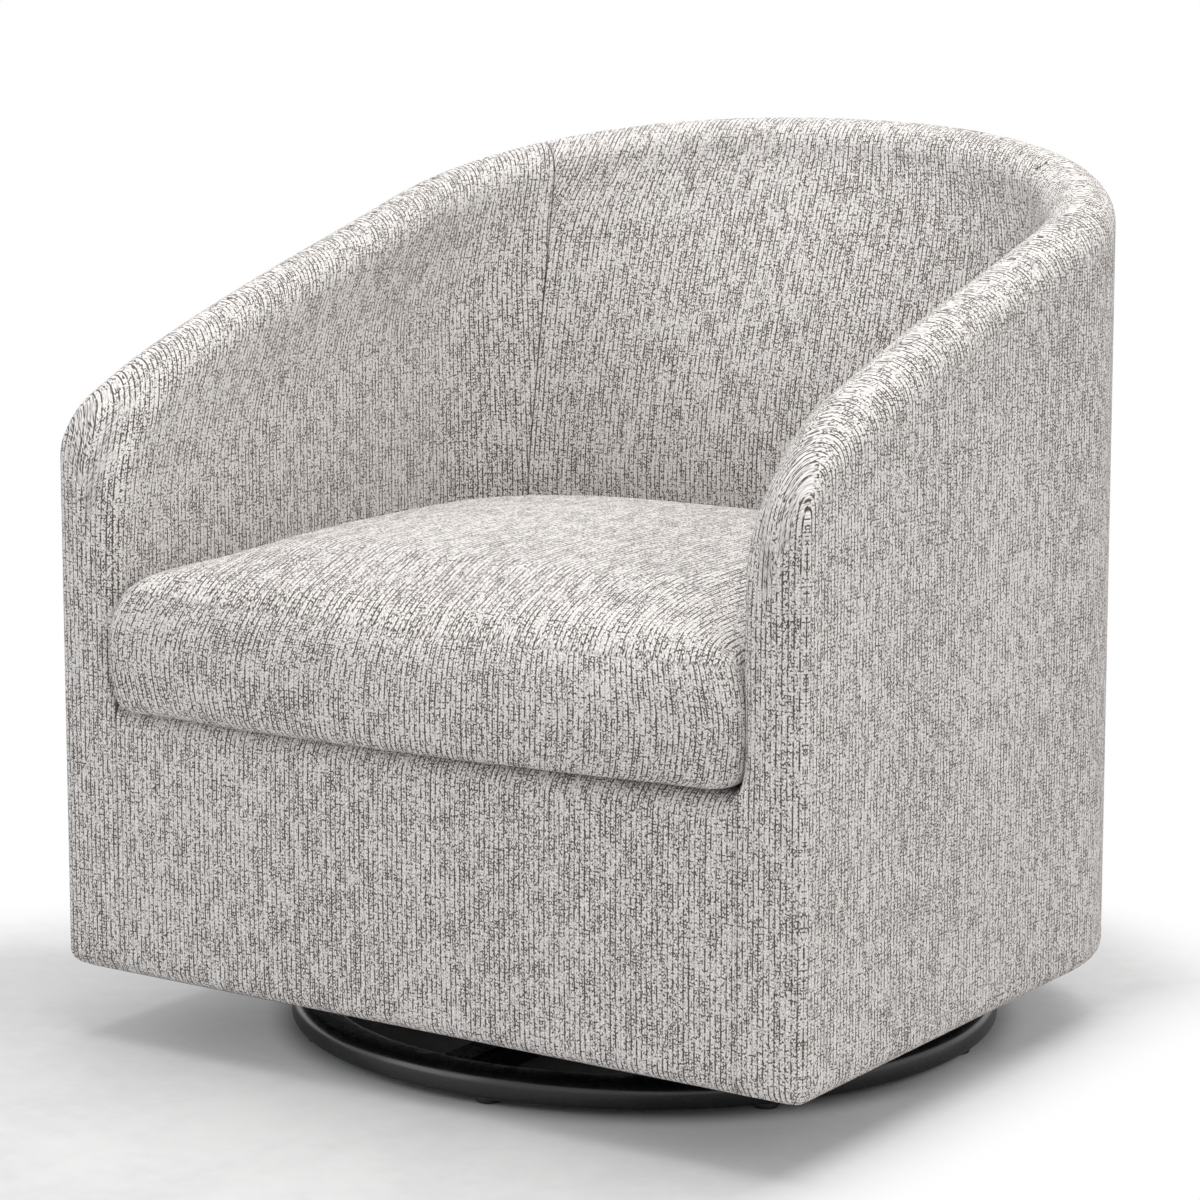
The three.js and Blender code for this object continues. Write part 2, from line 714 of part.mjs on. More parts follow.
// Dust cover: a cloth sheet under the frame with an opening for the rocker
function dustCover() {
  const points = [];
  const steps = 12;
  const inset = dustInset / outerPlan.half;
  const half = outerPlan.half * (1 - inset);
  points.push(new THREE.Vector2(half, frontHalfY + dustInset), new THREE.Vector2(half, outerPlan.straightY));
  for (let i = 1; i <= steps; i += 1) {
    const angle = (Math.PI / 2) * (i / steps);
    const x = half * Math.pow(Math.max(Math.cos(angle), 0), outerPlan.power);
    const y = outerPlan.straightY + (outerPlan.rise - dustInset) * Math.pow(Math.sin(angle), outerPlan.power);
    points.push(new THREE.Vector2(x, y));
  }
  const left = points.slice(0, -1).map((p) => new THREE.Vector2(-p.x, p.y)).reverse();
  const shape = new THREE.Shape([...points, ...left]);
  const hole = extruded(roundedRectangle(dustHole, dustHole, plateCorner), -dustThick, dustThick * 2, 3);
  const z = bottomZ - gap - dustThick;
  return cut(extruded(shape, z, z + dustThick), at(hole, 0, 0, z));
}

// Ring base
function baseRing() {
  const inner = ringRadius - ringWidth;
  const points = [[inner, ringZ], [ringRadius, ringZ]];
  const turnShares = [0, 1 / 3, 2 / 3, 1];
  for (const share of turnShares) {
    const angle = (Math.PI / 2) * share;
    const inset = ringEdge * (1 - Math.cos(angle));
    points.push([ringRadius - inset, ringTopZ - ringEdge * (1 - Math.sin(angle))]);
  }
  points.push([inner + barChamfer, ringTopZ], [inner, ringTopZ - barChamfer]);
  return turned(points, 56);
}

function baseArm(turn) {
  const half = armBarWidth / 2;
  const inner = ringRadius - ringWidth;
  const end = Math.sqrt((inner - gap) * (inner - gap) - half * half) - gap;
  const outline = new THREE.Shape();
  outline.moveTo(-half, ringZ);
  outline.lineTo(half, ringZ);
  outline.lineTo(half, ringTopZ - barChamfer);
  outline.lineTo(half - barChamfer, ringTopZ);
  outline.lineTo(-half + barChamfer, ringTopZ);
  outline.lineTo(-half, ringTopZ - barChamfer);
  const bar = extruded(outline, 0, end - armBarStart);
  bar.rotateX(Math.PI / 2).rotateZ(Math.PI / 2).translate(armBarStart, 0, 0);
  return bar.rotateZ(turn);
}

function glide(turn) {
  const radius = ringRadius - ringWidth / 2;
  const points = [
    [0, 0], [glideRadius - glideTaper, 0], [glideRadius, glideTaper], [glideRadius, glideHeight],
    [0, glideHeight],
  ];
  const profile = points.map(([r, z]) => new THREE.Vector2(r, z));
  const foot = new THREE.LatheGeometry(profile, 14).rotateX(Math.PI / 2);
  return at(foot, radius * Math.cos(turn), radius * Math.sin(turn), 0);
}

// A ring of a bearing race with a ball groove in its face, the face at z, the body towards up
function raceRing(face, back) {
  const toward = Math.sign(back - face);
  const half = raceWidth / 2;
  const rise = ballRadius - grooveDepth;
  const grooveHalf = Math.sqrt(ballRadius * ballRadius - rise * rise) + gap;
  const floor = face + toward * grooveDepth;
  const points = [
    [raceRadius - half, back], [raceRadius - half, face], [raceRadius - grooveHalf, face],
    [raceRadius - grooveHalf / 2, floor], [raceRadius + grooveHalf / 2, floor],
    [raceRadius + grooveHalf, face], [raceRadius + half, face], [raceRadius + half, back],
  ];
  return outward(BufferGeometryUtils.mergeVertices(stripped(turned(points, 32))));
}

function stripped(geometry) {
  geometry.deleteAttribute('normal');
  geometry.deleteAttribute('uv');
  return geometry;
}

function squarePlate(z) {
  const plate = extruded(roundedRectangle(plateSide / 2, plateSide / 2, plateCorner), z, z + plateThick, 4);
  return cut(plate, at(rod(kingHole, -overrun, plateThick + overrun), 0, 0, z));
}

function lowerBearingPlate() {
  return joined(squarePlate(lowerPlateZ), raceRing(lowerRaceZ, lowerPlateZ + plateThick / 2));
}

function upperBearingPlate() {
  const parts = [squarePlate(upperPlateZ), raceRing(upperRaceZ, upperPlateZ + plateThick / 2)];
  for (const side of [-1, 1]) {
    const y = side * stopY;
    parts.push(block(-stopWidth / 2, y - stopThick / 2, upperPlateZ + plateThick / 2,
      stopWidth / 2, y + stopThick / 2, upperTopZ + stopRise));
    for (const end of [-1, 1]) {
      parts.push(at(rod(seatBoss, -plateThick / 2, seatBossRise, 12), end * coilX, side * coilY, upperTopZ));
    }
  }
  return joined(...parts);
}

function bearingBalls() {
  const [from, to] = [raceRadius - cageWidth / 2, raceRadius + cageWidth / 2];
  const [low, high] = [ballZ - cageThick / 2, ballZ + cageThick / 2];
  const cage = turned([[from, low], [to, low], [to, high], [from, high]], 28);
  const balls = [];
  for (let i = 0; i < ballCount; i += 1) {
    const angle = (2 * Math.PI * i) / ballCount;
    const ball = new THREE.SphereGeometry(ballRadius, 8, 5).rotateX(Math.PI / 2);
    balls.push(at(ball, raceRadius * Math.cos(angle), raceRadius * Math.sin(angle), ballZ));
  }
  return joined(outward(BufferGeometryUtils.mergeVertices(stripped(cage))), ...balls);
}

function kingpinBolt() {
  const top = upperTopZ + gap + washerThick + gap + nutHeight + kingTail;
  const head = rod(kingHeadRadius, lowerPlateZ - gap - kingHeadHeight, lowerPlateZ - gap, 6);
  return joined(head, rod(kingRadius, lowerPlateZ - gap - kingHeadHeight / 2, top));
}

function ringWasher(inner, outer, z0, z1, outerSides = 24) {
  return cut(rod(outer, z0, z1, outerSides), rod(inner, z0 - overrun, z1 + overrun));
}

// Spring rocker
function pivotBracket(side) {
  const footZ = upperTopZ + gap;
  const foot = block(earX, -footLength / 2, footZ, earX + footWidth, footLength / 2, footZ + earThick);
  const outline = new THREE.Shape();
  const low = footZ - pivotZ;
  outline.moveTo(-earWidth / 2, low);
  outline.lineTo(earWidth / 2, low);
  outline.lineTo(earTop, 0);
  outline.absarc(0, 0, earTop, 0, Math.PI, false);
  const ear = extruded(outline, 0, earThick, 8);
  ear.rotateX(Math.PI / 2).rotateZ(Math.PI / 2).translate(earX, 0, pivotZ);
  const footBoltX = earX + earThick + (footWidth - earThick) / 2 + earThick;
  const footBoltY = footLength / 2 - footBoltRadius * 2;
  const bolt = rod(footBoltRadius, -gap, footBoltHead, 6);
  const bolts = [-1, 1].map((end) => at(bolt, footBoltX, end * footBoltY, upperTopZ + earThick));
  const bore = across(pinRadius + pinClear, earX - overrun, earX + earThick + overrun);
  const bracket = cut(joined(foot, ear, ...bolts), bore);
  return side > 0 ? bracket : mirroredX(bracket);
}

// A round bar along X at the pivot height
function across(radius, x0, x1, sides = 20) {
  const geometry = new THREE.CylinderGeometry(radius, radius, x1 - x0, sides).rotateZ(Math.PI / 2);
  return geometry.translate((x0 + x1) / 2, 0, pivotZ);
}

function mirroredX(geometry) {
  const copy = stripped(geometry.clone()).scale(-1, 1, 1);
  return outward(BufferGeometryUtils.mergeVertices(copy));
}

const clipX = flangeX + flangeThick + gap;

function rockPin() {
  const end = clipX + clipThick + pinTail;
  return across(pinRadius, -end, end);
}

function pinClip(side) {
  const bore = across(pinRadius + gap, clipX - overrun, clipX + clipThick + overrun);
  const clip = cut(across(clipRadius, clipX, clipX + clipThick), bore);
  return side > 0 ? clip : mirroredX(clip);
}

function rockerPlate() {
  const outer = roundedRectangle(rockerWidth / 2, rockerDepth / 2, rockerCorner);
  const parts = [extruded(outer, rockerZ, rockerZ + rockerThick, 4)];
  for (const side of [-1, 1]) {
    const outline = new THREE.Shape();
    const rise = rockerZ + rockerThick / 2 - pivotZ;
    outline.moveTo(-flangeWidth / 2, rise);
    outline.lineTo(-flangeDrop, 0);
    outline.absarc(0, 0, flangeDrop, Math.PI, Math.PI * 2, false);
    outline.lineTo(flangeWidth / 2, rise);
    const flange = extruded(outline, 0, flangeThick, 8);
    flange.rotateX(Math.PI / 2).rotateZ(Math.PI / 2).translate(flangeX, 0, pivotZ);
    parts.push(side > 0 ? flange : mirroredX(flange));
    for (const end of [-1, 1]) {
      parts.push(at(rod(seatBoss, -seatBossRise, rockerThick / 2, 12), end * coilX, side * coilY, rockerZ));
    }
  }
  const holes = [
    rod(rockerHole, rockerZ - overrun, rockerZ + rockerThick + overrun, 20),
    across(pinRadius + pinClear, -clipX - overrun, -flangeX + overrun),
    across(pinRadius + pinClear, flangeX - overrun, clipX + overrun),
  ];
  const bore = rod(boltHole, -overrun, rockerThick + overrun, 12);
  for (const side of [-1, 1]) {
    for (const end of [-1, 1]) holes.push(at(bore, end * boltX, side * crossRailY, rockerZ));
  }
  return cut(joined(...parts), ...holes);
}

function bumper(x, y) {
  const tip = -gap - bumperHeight;
  const points = [[0, -gap], [bumperRadius, -gap], [bumperTip, tip], [0, tip]];
  const profile = points.map(([r, z]) => new THREE.Vector2(r, z)).reverse();
  return at(new THREE.LatheGeometry(profile, 14).rotateX(Math.PI / 2), x, y, rockerZ);
}

function rockerBolt(x, y) {
  const head = rod(boltHead, -gap - boltHeadHeight, -gap, 6);
  const shank = rod(boltRadius, -gap - boltHeadHeight / 2, rockerThick + boltReach, 12);
  return at(joined(head, shank), x, y, rockerZ);
}

// Coil spring between the bosses of the two plates
class Helix extends THREE.Curve {
  constructor(radius, rise, turns) {
    super();
    Object.assign(this, { radius, rise, turns });
  }

  getPoint(t, target = new THREE.Vector3()) {
    const angle = 2 * Math.PI * this.turns * t;
    return target.set(this.radius * Math.cos(angle), this.radius * Math.sin(angle), this.rise * t);
  }
}

const coilRise = rockerZ - upperTopZ - 2 * gap - coilWire;
const coilPitch = coilRise / coilTurns;

function coilSpring(x, y) {
  const helix = new Helix(coilRadius, coilRise, coilTurns);
  const spring = wireAlong(helix, coilWire / 2, coilSides, coilTurns * coilSteps);
  return at(spring, x, y, upperTopZ + gap + coilWire / 2);
}

// Least distance between neighbouring curls, measured on points one turn apart
function leastCoilGap() {
  const helix = new Helix(coilRadius, coilRise, coilTurns);
  const samples = coilTurns * coilSteps * coilSteps;
  const points = Array.from({ length: samples + 1 }, (_, i) => helix.getPoint(i / samples));
  let least = Infinity;
  points.forEach((p, i) => points.slice(i + samples / coilTurns / 2).forEach((q) => {
    least = Math.min(least, p.distanceTo(q));
  }));
  return least - coilWire;
}

const group = new THREE.Group();
group.name = 'swivel_rocker';

function add(name, geometry, finish) {
  const mesh = new THREE.Mesh(geometry, new THREE.MeshStandardMaterial(finish));
  mesh.name = name;
  group.add(mesh);
}

function addBase() {
  add('base_ring', baseRing(), paint);
  for (let i = 0; i < 4; i += 1) add(`base_arm_${i + 1}`, baseArm((Math.PI / 2) * i), paint);
  for (let i = 0; i < glideCount; i += 1) {
    add(`glide_${i + 1}`, glide(glideTurn + (2 * Math.PI * i) / glideCount), plastic);
  }
  add('lower_bearing_plate', lowerBearingPlate(), steel);
  add('bearing_balls', bearingBalls(), steel);
  add('kingpin_bolt', kingpinBolt(), steel);
  const washerZ = upperTopZ + gap;
  add('kingpin_washer', ringWasher(kingHole, washerRadius, washerZ, washerZ + washerThick), steel);
  const nutZ = washerZ + washerThick + gap;
  add('kingpin_nut', ringWasher(kingHole, kingHeadRadius, nutZ, nutZ + nutHeight, 6), steel);
}

function addSwivel() {
  add('upper_bearing_plate', upperBearingPlate(), steel);
  add('pivot_bracket_right', pivotBracket(1), paint);
  add('pivot_bracket_left', pivotBracket(-1), paint);
  add('rock_pin', rockPin(), steel);
  add('pin_clip_right', pinClip(1), steel);
  add('pin_clip_left', pinClip(-1), steel);
  const corners = [[-1, -1], [1, -1], [-1, 1], [1, 1]];
  corners.forEach(([x, y], i) => add(`coil_spring_${i + 1}`, coilSpring(x * coilX, y * coilY), steel));
}

function addSeatFrame() {
  add('rocker_plate', rockerPlate(), paint);
  const corners = [[-1, -1], [1, -1], [-1, 1], [1, 1]];
  corners.forEach(([x, y], i) => add(`bumper_${i + 1}`, bumper(x * bumperX, y * stopY), rubber));
  corners.forEach(([x, y], i) => add(`rocker_bolt_${i + 1}`, rockerBolt(x * boltX, y * crossRailY), steel));
  add('cross_rail_front', crossRail(-1), timber);
  add('cross_rail_rear', crossRail(1), timber);
  add('right_arm_frame', armFrame(1), plywood);
  add('left_arm_frame', armFrame(-1), plywood);
  add('back_frame', backFrame(), plywood);
  add('front_rail_board', frontRailBoard(), timber);
  const [near, far] = [backRailY, backRailY + backRailThick];
  add('back_rail', railBetweenBoards(near, far, springRailZ - backRailHeight, springRailZ), timber);
  for (let i = 0; i < springCount; i += 1) {
    add(`seat_spring_${i + 1}`, zigzagSpring((i - (springCount - 1) / 2) * springPitch), steel);
  }
}

function addUpholstery() {
  add('right_arm', armPad(1), cloth);
  add('left_arm', armPad(-1), cloth);
  add('back', backPad(), cloth);
  add('front_rail', frontRailPad(), cloth);
  add('seat_deck', seatDeck(), lining);
  add('dust_cover', dustCover(), lining);
  add('seat_cushion', seatCushion(), cloth);
}

addBase();
addSwivel();
addSeatFrame();
addUpholstery();
console.log(`least gap between curls of a coil spring: ${leastCoilGap().toFixed(2)} mm`);

export default group;
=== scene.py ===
"""Barrel swivel rocker: upholstery, frame finishes and studio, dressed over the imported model.

Every length is in metres and every angle in radians. The origin is on the floor, on the swivel
axis. The chair faces -Y, and right means +X, as seen from the front.
"""

import enum
import json
import logging
import math
from dataclasses import dataclass, field
from typing import Any, Iterable, Sequence

import bmesh
import bpy
import numpy as np
from mathutils import Matrix, Vector


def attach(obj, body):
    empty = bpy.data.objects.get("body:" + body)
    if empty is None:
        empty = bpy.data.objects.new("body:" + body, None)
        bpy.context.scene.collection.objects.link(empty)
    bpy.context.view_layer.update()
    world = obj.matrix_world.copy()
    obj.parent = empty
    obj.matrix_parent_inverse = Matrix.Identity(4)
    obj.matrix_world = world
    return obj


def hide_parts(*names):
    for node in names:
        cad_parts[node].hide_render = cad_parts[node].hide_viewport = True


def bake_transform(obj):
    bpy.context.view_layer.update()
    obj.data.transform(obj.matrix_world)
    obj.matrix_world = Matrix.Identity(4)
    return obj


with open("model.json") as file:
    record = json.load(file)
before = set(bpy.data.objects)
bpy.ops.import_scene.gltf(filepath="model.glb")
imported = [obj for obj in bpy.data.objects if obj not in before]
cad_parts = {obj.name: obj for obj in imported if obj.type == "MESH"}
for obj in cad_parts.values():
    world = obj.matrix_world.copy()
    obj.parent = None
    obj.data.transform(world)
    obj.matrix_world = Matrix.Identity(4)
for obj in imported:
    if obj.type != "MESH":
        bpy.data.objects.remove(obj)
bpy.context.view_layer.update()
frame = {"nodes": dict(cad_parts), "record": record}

log = logging.getLogger("rocker")

WHITE = (1.0, 1.0, 1.0, 1.0)
MIRROR = np.array([-1, 1, 1])
QUARTER = math.pi / 2

# On upright cloth the second coordinate of the "weave" map is the height plus this.
WEAVE_LIFT = 0.5
# The front faces' number in the "panel" map. All other cloth is 0.
FRONT_PANEL = 1
# What the "panel" map's second coordinate gains from the outside of a wall to its inside.
FLECK_TURN = 5.0


# Shader expressions


class Value:
    """A shader socket, or a plain number, that Python operators turn into Math nodes."""

    def __init__(self, shader: "Shader", source: Any) -> None:
        """Keeps the shader and the socket or number that stands for the value."""
        self.shader = shader
        self.source = source

    def _math(self, operation: str, *others: Any) -> "Value":
        """Adds a Math node of an operation on this value and the others."""
        return self.shader.node("ShaderNodeMath", {"operation": operation}, dict(enumerate((self, *others))))

    def __add__(self, other: Any) -> "Value":
        """The sum."""
        return self._math("ADD", other)

    def __sub__(self, other: Any) -> "Value":
        """The difference."""
        return self._math("SUBTRACT", other)

    def __rsub__(self, other: Any) -> "Value":
        """The difference, from the right."""
        return Value(self.shader, other) - self

    def __mul__(self, other: Any) -> "Value":
        """The product."""
        return self._math("MULTIPLY", other)

    def __truediv__(self, other: Any) -> "Value":
        """The quotient."""
        return self._math("DIVIDE", other)

    def __rtruediv__(self, other: Any) -> "Value":
        """The quotient, from the right."""
        return Value(self.shader, other) / self

    def __pow__(self, other: Any) -> "Value":
        """The power."""
        return self._math("POWER", other)

    def __abs__(self) -> "Value":
        """The size without its sign."""
        return self._math("ABSOLUTE")

    __radd__ = __add__
    __rmul__ = __mul__

    def floor(self) -> "Value":
        """The whole number below."""
        return self._math("FLOOR")

    def sin(self) -> "Value":
        """The sine."""
        return self._math("SINE")

    def at_least(self, other: Any) -> "Value":
        """The larger of two values."""
        return self._math("MAXIMUM", other)

    def at_most(self, other: Any) -> "Value":
        """The smaller of two values."""
        return self._math("MINIMUM", other)

    def ramp(self, low: float, high: float) -> "Value":
        """Rises smoothly from 0 at low to 1 at high, or falls where low is the larger.

        Args:
            low: the value that gives 0.
            high: the value that gives 1.

        Returns:
            The eased share.
        """
        rising = low < high
        inputs = {"Value": self, "From Min": min(low, high), "From Max": max(low, high),
                  "To Min": float(not rising), "To Max": float(rising)}
        return self.shader.node("ShaderNodeMapRange", {"interpolation_type": "SMOOTHSTEP"}, inputs)


class Shader:
    """The node tree of a material or a world, with one method for every kind of node."""

    def __init__(self, name: str, kind: str = "materials") -> None:
        """Starts the owner with an empty node tree.

        Args:
            name: the material's or world's name.
            kind: "materials" or "worlds".
        """
        self.owner = getattr(bpy.data, kind).new(name)
        self.owner.use_nodes = True
        self.tree = self.owner.node_tree
        self.tree.nodes.clear()

    def node(self, kind: str, settings: dict[str, Any] | None = None,
             inputs: dict[str | int, Any] | None = None, output: str | int = 0) -> Value:
        """Adds a node, sets it up and links or fills its sockets.

        Args:
            kind: the node's type.
            settings: its properties, which are set first.
            inputs: values, numbers, colours or vectors by socket name or number.
            output: which result to give back.

        Returns:
            The chosen output as a value.
        """
        made = self.tree.nodes.new(kind)
        for key, setting in (settings or {}).items():
            setattr(made, key, setting)
        for key, given in (inputs or {}).items():
            socket = made.inputs[key]
            source = given.source if isinstance(given, Value) else given
            if isinstance(source, bpy.types.NodeSocket):
                self.tree.links.new(source, socket)
            else:
                socket.default_value = source
        return Value(self, made.outputs[output])

    def place(self) -> Value:
        """The place in metres, by the piece's own axes."""
        return self.node("ShaderNodeTexCoord", None, None, "Object")

    def part(self, vector: Value, axis: str) -> Value:
        """One coordinate of a vector, X, Y or Z."""
        return self.node("ShaderNodeSeparateXYZ", None, {0: vector}, axis)

    def scaled(self, vector: Value, factors: tuple[float, float, float]) -> Value:
        """A vector multiplied axis by axis: a small factor draws a pattern out along its axis."""
        return self.node("ShaderNodeVectorMath", {"operation": "MULTIPLY"}, {0: vector, 1: factors})

    def vector(self, x: Any = 0.0, y: Any = 0.0, z: Any = 0.0) -> Value:
        """Joins three values into a vector."""
        return self.node("ShaderNodeCombineXYZ", None, {"X": x, "Y": y, "Z": z})

    def mix(self, share: Any, first: Any, second: Any) -> Value:
        """Blends two colours.

        Args:
            share: how much of the second, from 0 to 1.
            first: a colour or a value.
            second: a colour or a value.

        Returns:
            The blended colour.
        """
        inputs = {"Factor": share, 6: first, 7: second}
        return self.node("ShaderNodeMix", {"data_type": "RGBA"}, inputs, 2)

    def noise(self, place: Value, scale: float, detail: float = 2.0, roughness: float = 0.5) -> Value:
        """Smooth noise from 0 to 1 at a place.

        Args:
            place: the vector that the noise reads.
            scale: waves per unit of that vector.
            detail: octaves.
            roughness: strength of the finer octaves.

        Returns:
            The noise, about 0.5 on average.
        """
        inputs = {"Vector": place, "Scale": scale, "Detail": detail, "Roughness": roughness}
        return self.node("ShaderNodeTexNoise", {"noise_dimensions": "3D"}, inputs)

    def bump(self, height: Value, depth: float, strength: float = 1.0) -> Value:
        """A normal bent by a height.

        Args:
            height: the height, from 0 to 1.
            depth: what 1 means, in metres.
            strength: how strongly it is applied.

        Returns:
            The normal.
        """
        return self.node("ShaderNodeBump", None, {"Strength": strength, "Distance": depth, "Height": height})

    def finish(self, **sockets: Any) -> bpy.types.Material:
        """Adds the surface shader and the output.

        Args:
            sockets: the shader's inputs, with an underscore for each space in a name.

        Returns:
            The finished material.
        """
        inputs = {name.replace("_", " "): given for name, given in sockets.items()}
        return self.close(self.node("ShaderNodeBsdfPrincipled", None, inputs))

    def close(self, surface: Value) -> Any:
        """Links a surface to the tree's output.

        Args:
            surface: the surface, or the background of a world.

        Returns:
            The finished material or world.
        """
        kind = "World" if isinstance(self.owner, bpy.types.World) else "Material"
        output = self.tree.nodes.new(f"ShaderNodeOutput{kind}")
        self.tree.links.new(surface.source, output.inputs["Surface"])
        return self.owner


def linear(red: float, green: float, blue: float) -> tuple[float, float, float, float]:
    """A display colour from 0 to 255 as a linear colour with full alpha.

    A share of at most 0.04045 is divided by 12.92. Above that it gains 0.055, is divided by
    1.055 and is raised to the power 2.4.

    Args:
        red: the red share.
        green: the green share.
        blue: the blue share.

    Returns:
        The colour.
    """
    shares = np.array([red, green, blue]) / 255
    curved = np.where(shares <= 0.04045, shares / 12.92, ((shares + 0.055) / 1.055) ** 2.4)
    return (*(float(c) for c in curved), 1.0)


# Finishes


@dataclass(frozen=True)
class Chenille:
    """Ribbed chenille: plump light ribs of short tufts, broken dark gaps and fine dark flecks.

    The cloth reads the "weave" map, whose first coordinate runs across the ribs and whose second
    runs along them, both in metres, and the "panel" map, which tells panels apart. Each number
    of waves is per metre.
    """

    name: str
    # light is the yarn's colour, and shade is the same yarn in painted shade.
    light: tuple = linear(250, 246, 244)
    shade: tuple = linear(176, 171, 168)
    dark: tuple = linear(88, 79, 72)
    rib: float = 0.00488
    tuft: float = 0.0027
    cluster_across: float = 0.0085
    cluster_along: float = 0.027
    wander_waves: float = 60.0
    slow_waves: float = 8.0
    gap_waves: float = 62.0
    dash_waves: float = 290.0
    speck_waves: float = 330.0
    break_waves: float = 640.0
    fuzz_waves: float = 560.0
    fibre_waves: float = 950.0
    depth: float = 0.0008
    groove: float = 0.0018
    seam: bool = False

    def material(self) -> bpy.types.Material:
        """The cloth's material.

        The rib number is the place across, over the rib's width, with a slight wander. Where two
        ribs meet runs a dark line, broken by noise along it, which is partly dark yarn and partly
        painted shade in the groove between the ribs. Each rib is two rows of tufts, the cells of a
        stretched Voronoi pattern, and their outlines show as dark flecks where fine noise lets
        them, more often inside a cluster. The yarn takes painted shade towards the tufts' outlines
        and the gaps between ribs, and darkens by fibre noise. A seam is a groove where the
        "seam_q" attribute crosses 0, with painted shade in it.

        Returns:
            The material.
        """
        s = Shader(self.name)
        weave, panel = (s.node("ShaderNodeUVMap", {"uv_map": title}) for title in ("weave", "panel"))
        across, along = s.part(weave, "X"), s.part(weave, "Y")
        number, apart = s.part(panel, "X"), s.part(panel, "Y")
        flat = s.vector(across, along, number * 0.37)

        wander = s.noise(s.vector(across, along * 0.4, apart * 0.01), self.wander_waves, 1.0) - 0.5
        fuzz = s.noise(flat, self.fuzz_waves, 2.0, 0.6) - 0.5
        ribs = across / self.rib + wander * 0.3 + fuzz * 0.10
        line = (ribs + 0.5).floor()
        off = abs(ribs - line)

        spot = s.vector(across / self.cluster_across, along / self.cluster_along, apart)
        slow = s.noise(s.vector(across, along * 0.5, apart * 0.02), self.slow_waves, 1.0) - 0.5
        crowd = (s.noise(spot, 1.0, 3.0, 0.6) + slow * 0.2).ramp(0.30, 0.75)

        stretch = s.noise(s.vector(line * 5.3, along * self.gap_waves, number), 1.0, 2.0, 0.6)
        dashes = s.noise(s.place(), self.dash_waves, 1.0).ramp(0.37, 0.45)
        # Partly painted shade: the dark line where two ribs meet stands for dark yarn and for the shade in
        # the groove between them.
        gap = off.ramp(0.16, 0.08) * (stretch + crowd * 0.09).ramp(0.47, 0.55) * dashes

        cells = s.vector(ribs * 2.0, along / self.tuft + number * 61.0)
        edge = s.node("ShaderNodeTexVoronoi", {"voronoi_dimensions": "2D", "feature": "DISTANCE_TO_EDGE"},
                      {"Vector": cells, "Scale": 1.0, "Randomness": 0.8})
        speck = s.noise(s.vector(ribs * 1.7, along * self.speck_waves, number + 9.0), 1.0, 1.0, 0.5)
        broken = s.noise(s.vector(ribs * 3.3, along * self.break_waves, number + 13.0), 1.0, 1.0, 0.5)
        flecks = edge.ramp(0.30, 0.14) * (speck + crowd * 0.17).ramp(0.565, 0.635) * broken.ramp(0.33, 0.47)
        mask = gap.at_least(flecks)

        fibre = s.noise(flat, self.fibre_waves, 2.0, 0.6)
        # Painted shade: the yarn turns from its light to its shade colour towards the tufts' outlines and
        # the gaps between ribs, where their roundness would shade it; fibre noise and clusters add the
        # yarn's own tone.
        soft = (edge.ramp(0.34, 0.0) * 0.40 + off.ramp(0.30, 0.0) * 0.30 + (fibre - 0.5) * 2.0
                + crowd * 0.14 + 0.10)
        yarn = s.mix(soft.at_least(0.0).at_most(1.0), self.light, self.shade)
        colour = s.mix(mask.at_most(1.0), yarn, self.dark)
        height = off.ramp(0.0, 0.32) * 0.6 + edge.ramp(0.0, 0.25) * 0.3 + fibre * 0.4 - mask * 0.25
        if self.seam:
            away = s.node("ShaderNodeAttribute", {"attribute_name": "seam_q"}, None, "Fac")
            groove = (abs(away) / self.groove).ramp(1.0, 0.0)
            height = height - groove * 0.7
            # Painted shade: the cloth darkens in the seam's groove.
            colour = s.mix(groove * 0.25, colour, self.dark)
        return s.finish(Base_Color=colour, Roughness=0.92, Normal=s.bump(height, self.depth),
                        Sheen_Weight=0.08, Sheen_Roughness=0.6, Specular_IOR_Level=0.15)


@dataclass(frozen=True)
class Enamel:
    """Smooth baked enamel on steel, with a faint orange-peel and fine dust."""

    name: str = "black_enamel"
    colour: tuple = linear(17, 18, 21)
    worn: tuple = linear(29, 30, 34)
    roughness: float = 0.24
    peel_depth: float = 0.00006

    def material(self) -> bpy.types.Material:
        """The enamel's material: dust lightens and dulls it in patches.

        Returns:
            The material.
        """
        s = Shader(self.name)
        place = s.place()
        patch = s.noise(place, 38.0, 4.0, 0.6).ramp(0.42, 0.75)
        speck = s.noise(place, 900.0, 2.0).ramp(0.62, 0.8)
        peel = s.bump(s.noise(place, 420.0, 2.0), self.peel_depth, 0.6)
        return s.finish(Base_Color=s.mix(patch * 0.35 + speck * 0.3, self.colour, self.worn),
                        Roughness=patch * 0.10 + speck * 0.12 + self.roughness, Normal=peel,
                        Coat_Weight=0.22, Coat_Roughness=0.16)


@dataclass(frozen=True)
class Metal:
    """Bare, plated or drawn steel with fine streaks across the upright axis."""

    name: str
    colour: tuple
    tarnish: tuple
    roughness: float = 0.32
    streaks: tuple[float, float, float] = (1.0, 1.0, 6.0)
    streak_depth: float = 0.00004

    def material(self) -> bpy.types.Material:
        """The steel's material: stretched noise streaks it and slow noise tarnishes it.

        Returns:
            The material.
        """
        s = Shader(self.name)
        place = s.place()
        streak = s.noise(s.scaled(place, self.streaks), 260.0, 3.0)
        patch = s.noise(place, 30.0, 3.0, 0.6).ramp(0.4, 0.75)
        return s.finish(Base_Color=s.mix(patch * 0.6 + streak * 0.3, self.colour, self.tarnish),
                        Metallic=1.0, Roughness=streak * 0.16 + patch * 0.12 + self.roughness,
                        Normal=s.bump(streak, self.streak_depth, 0.5))


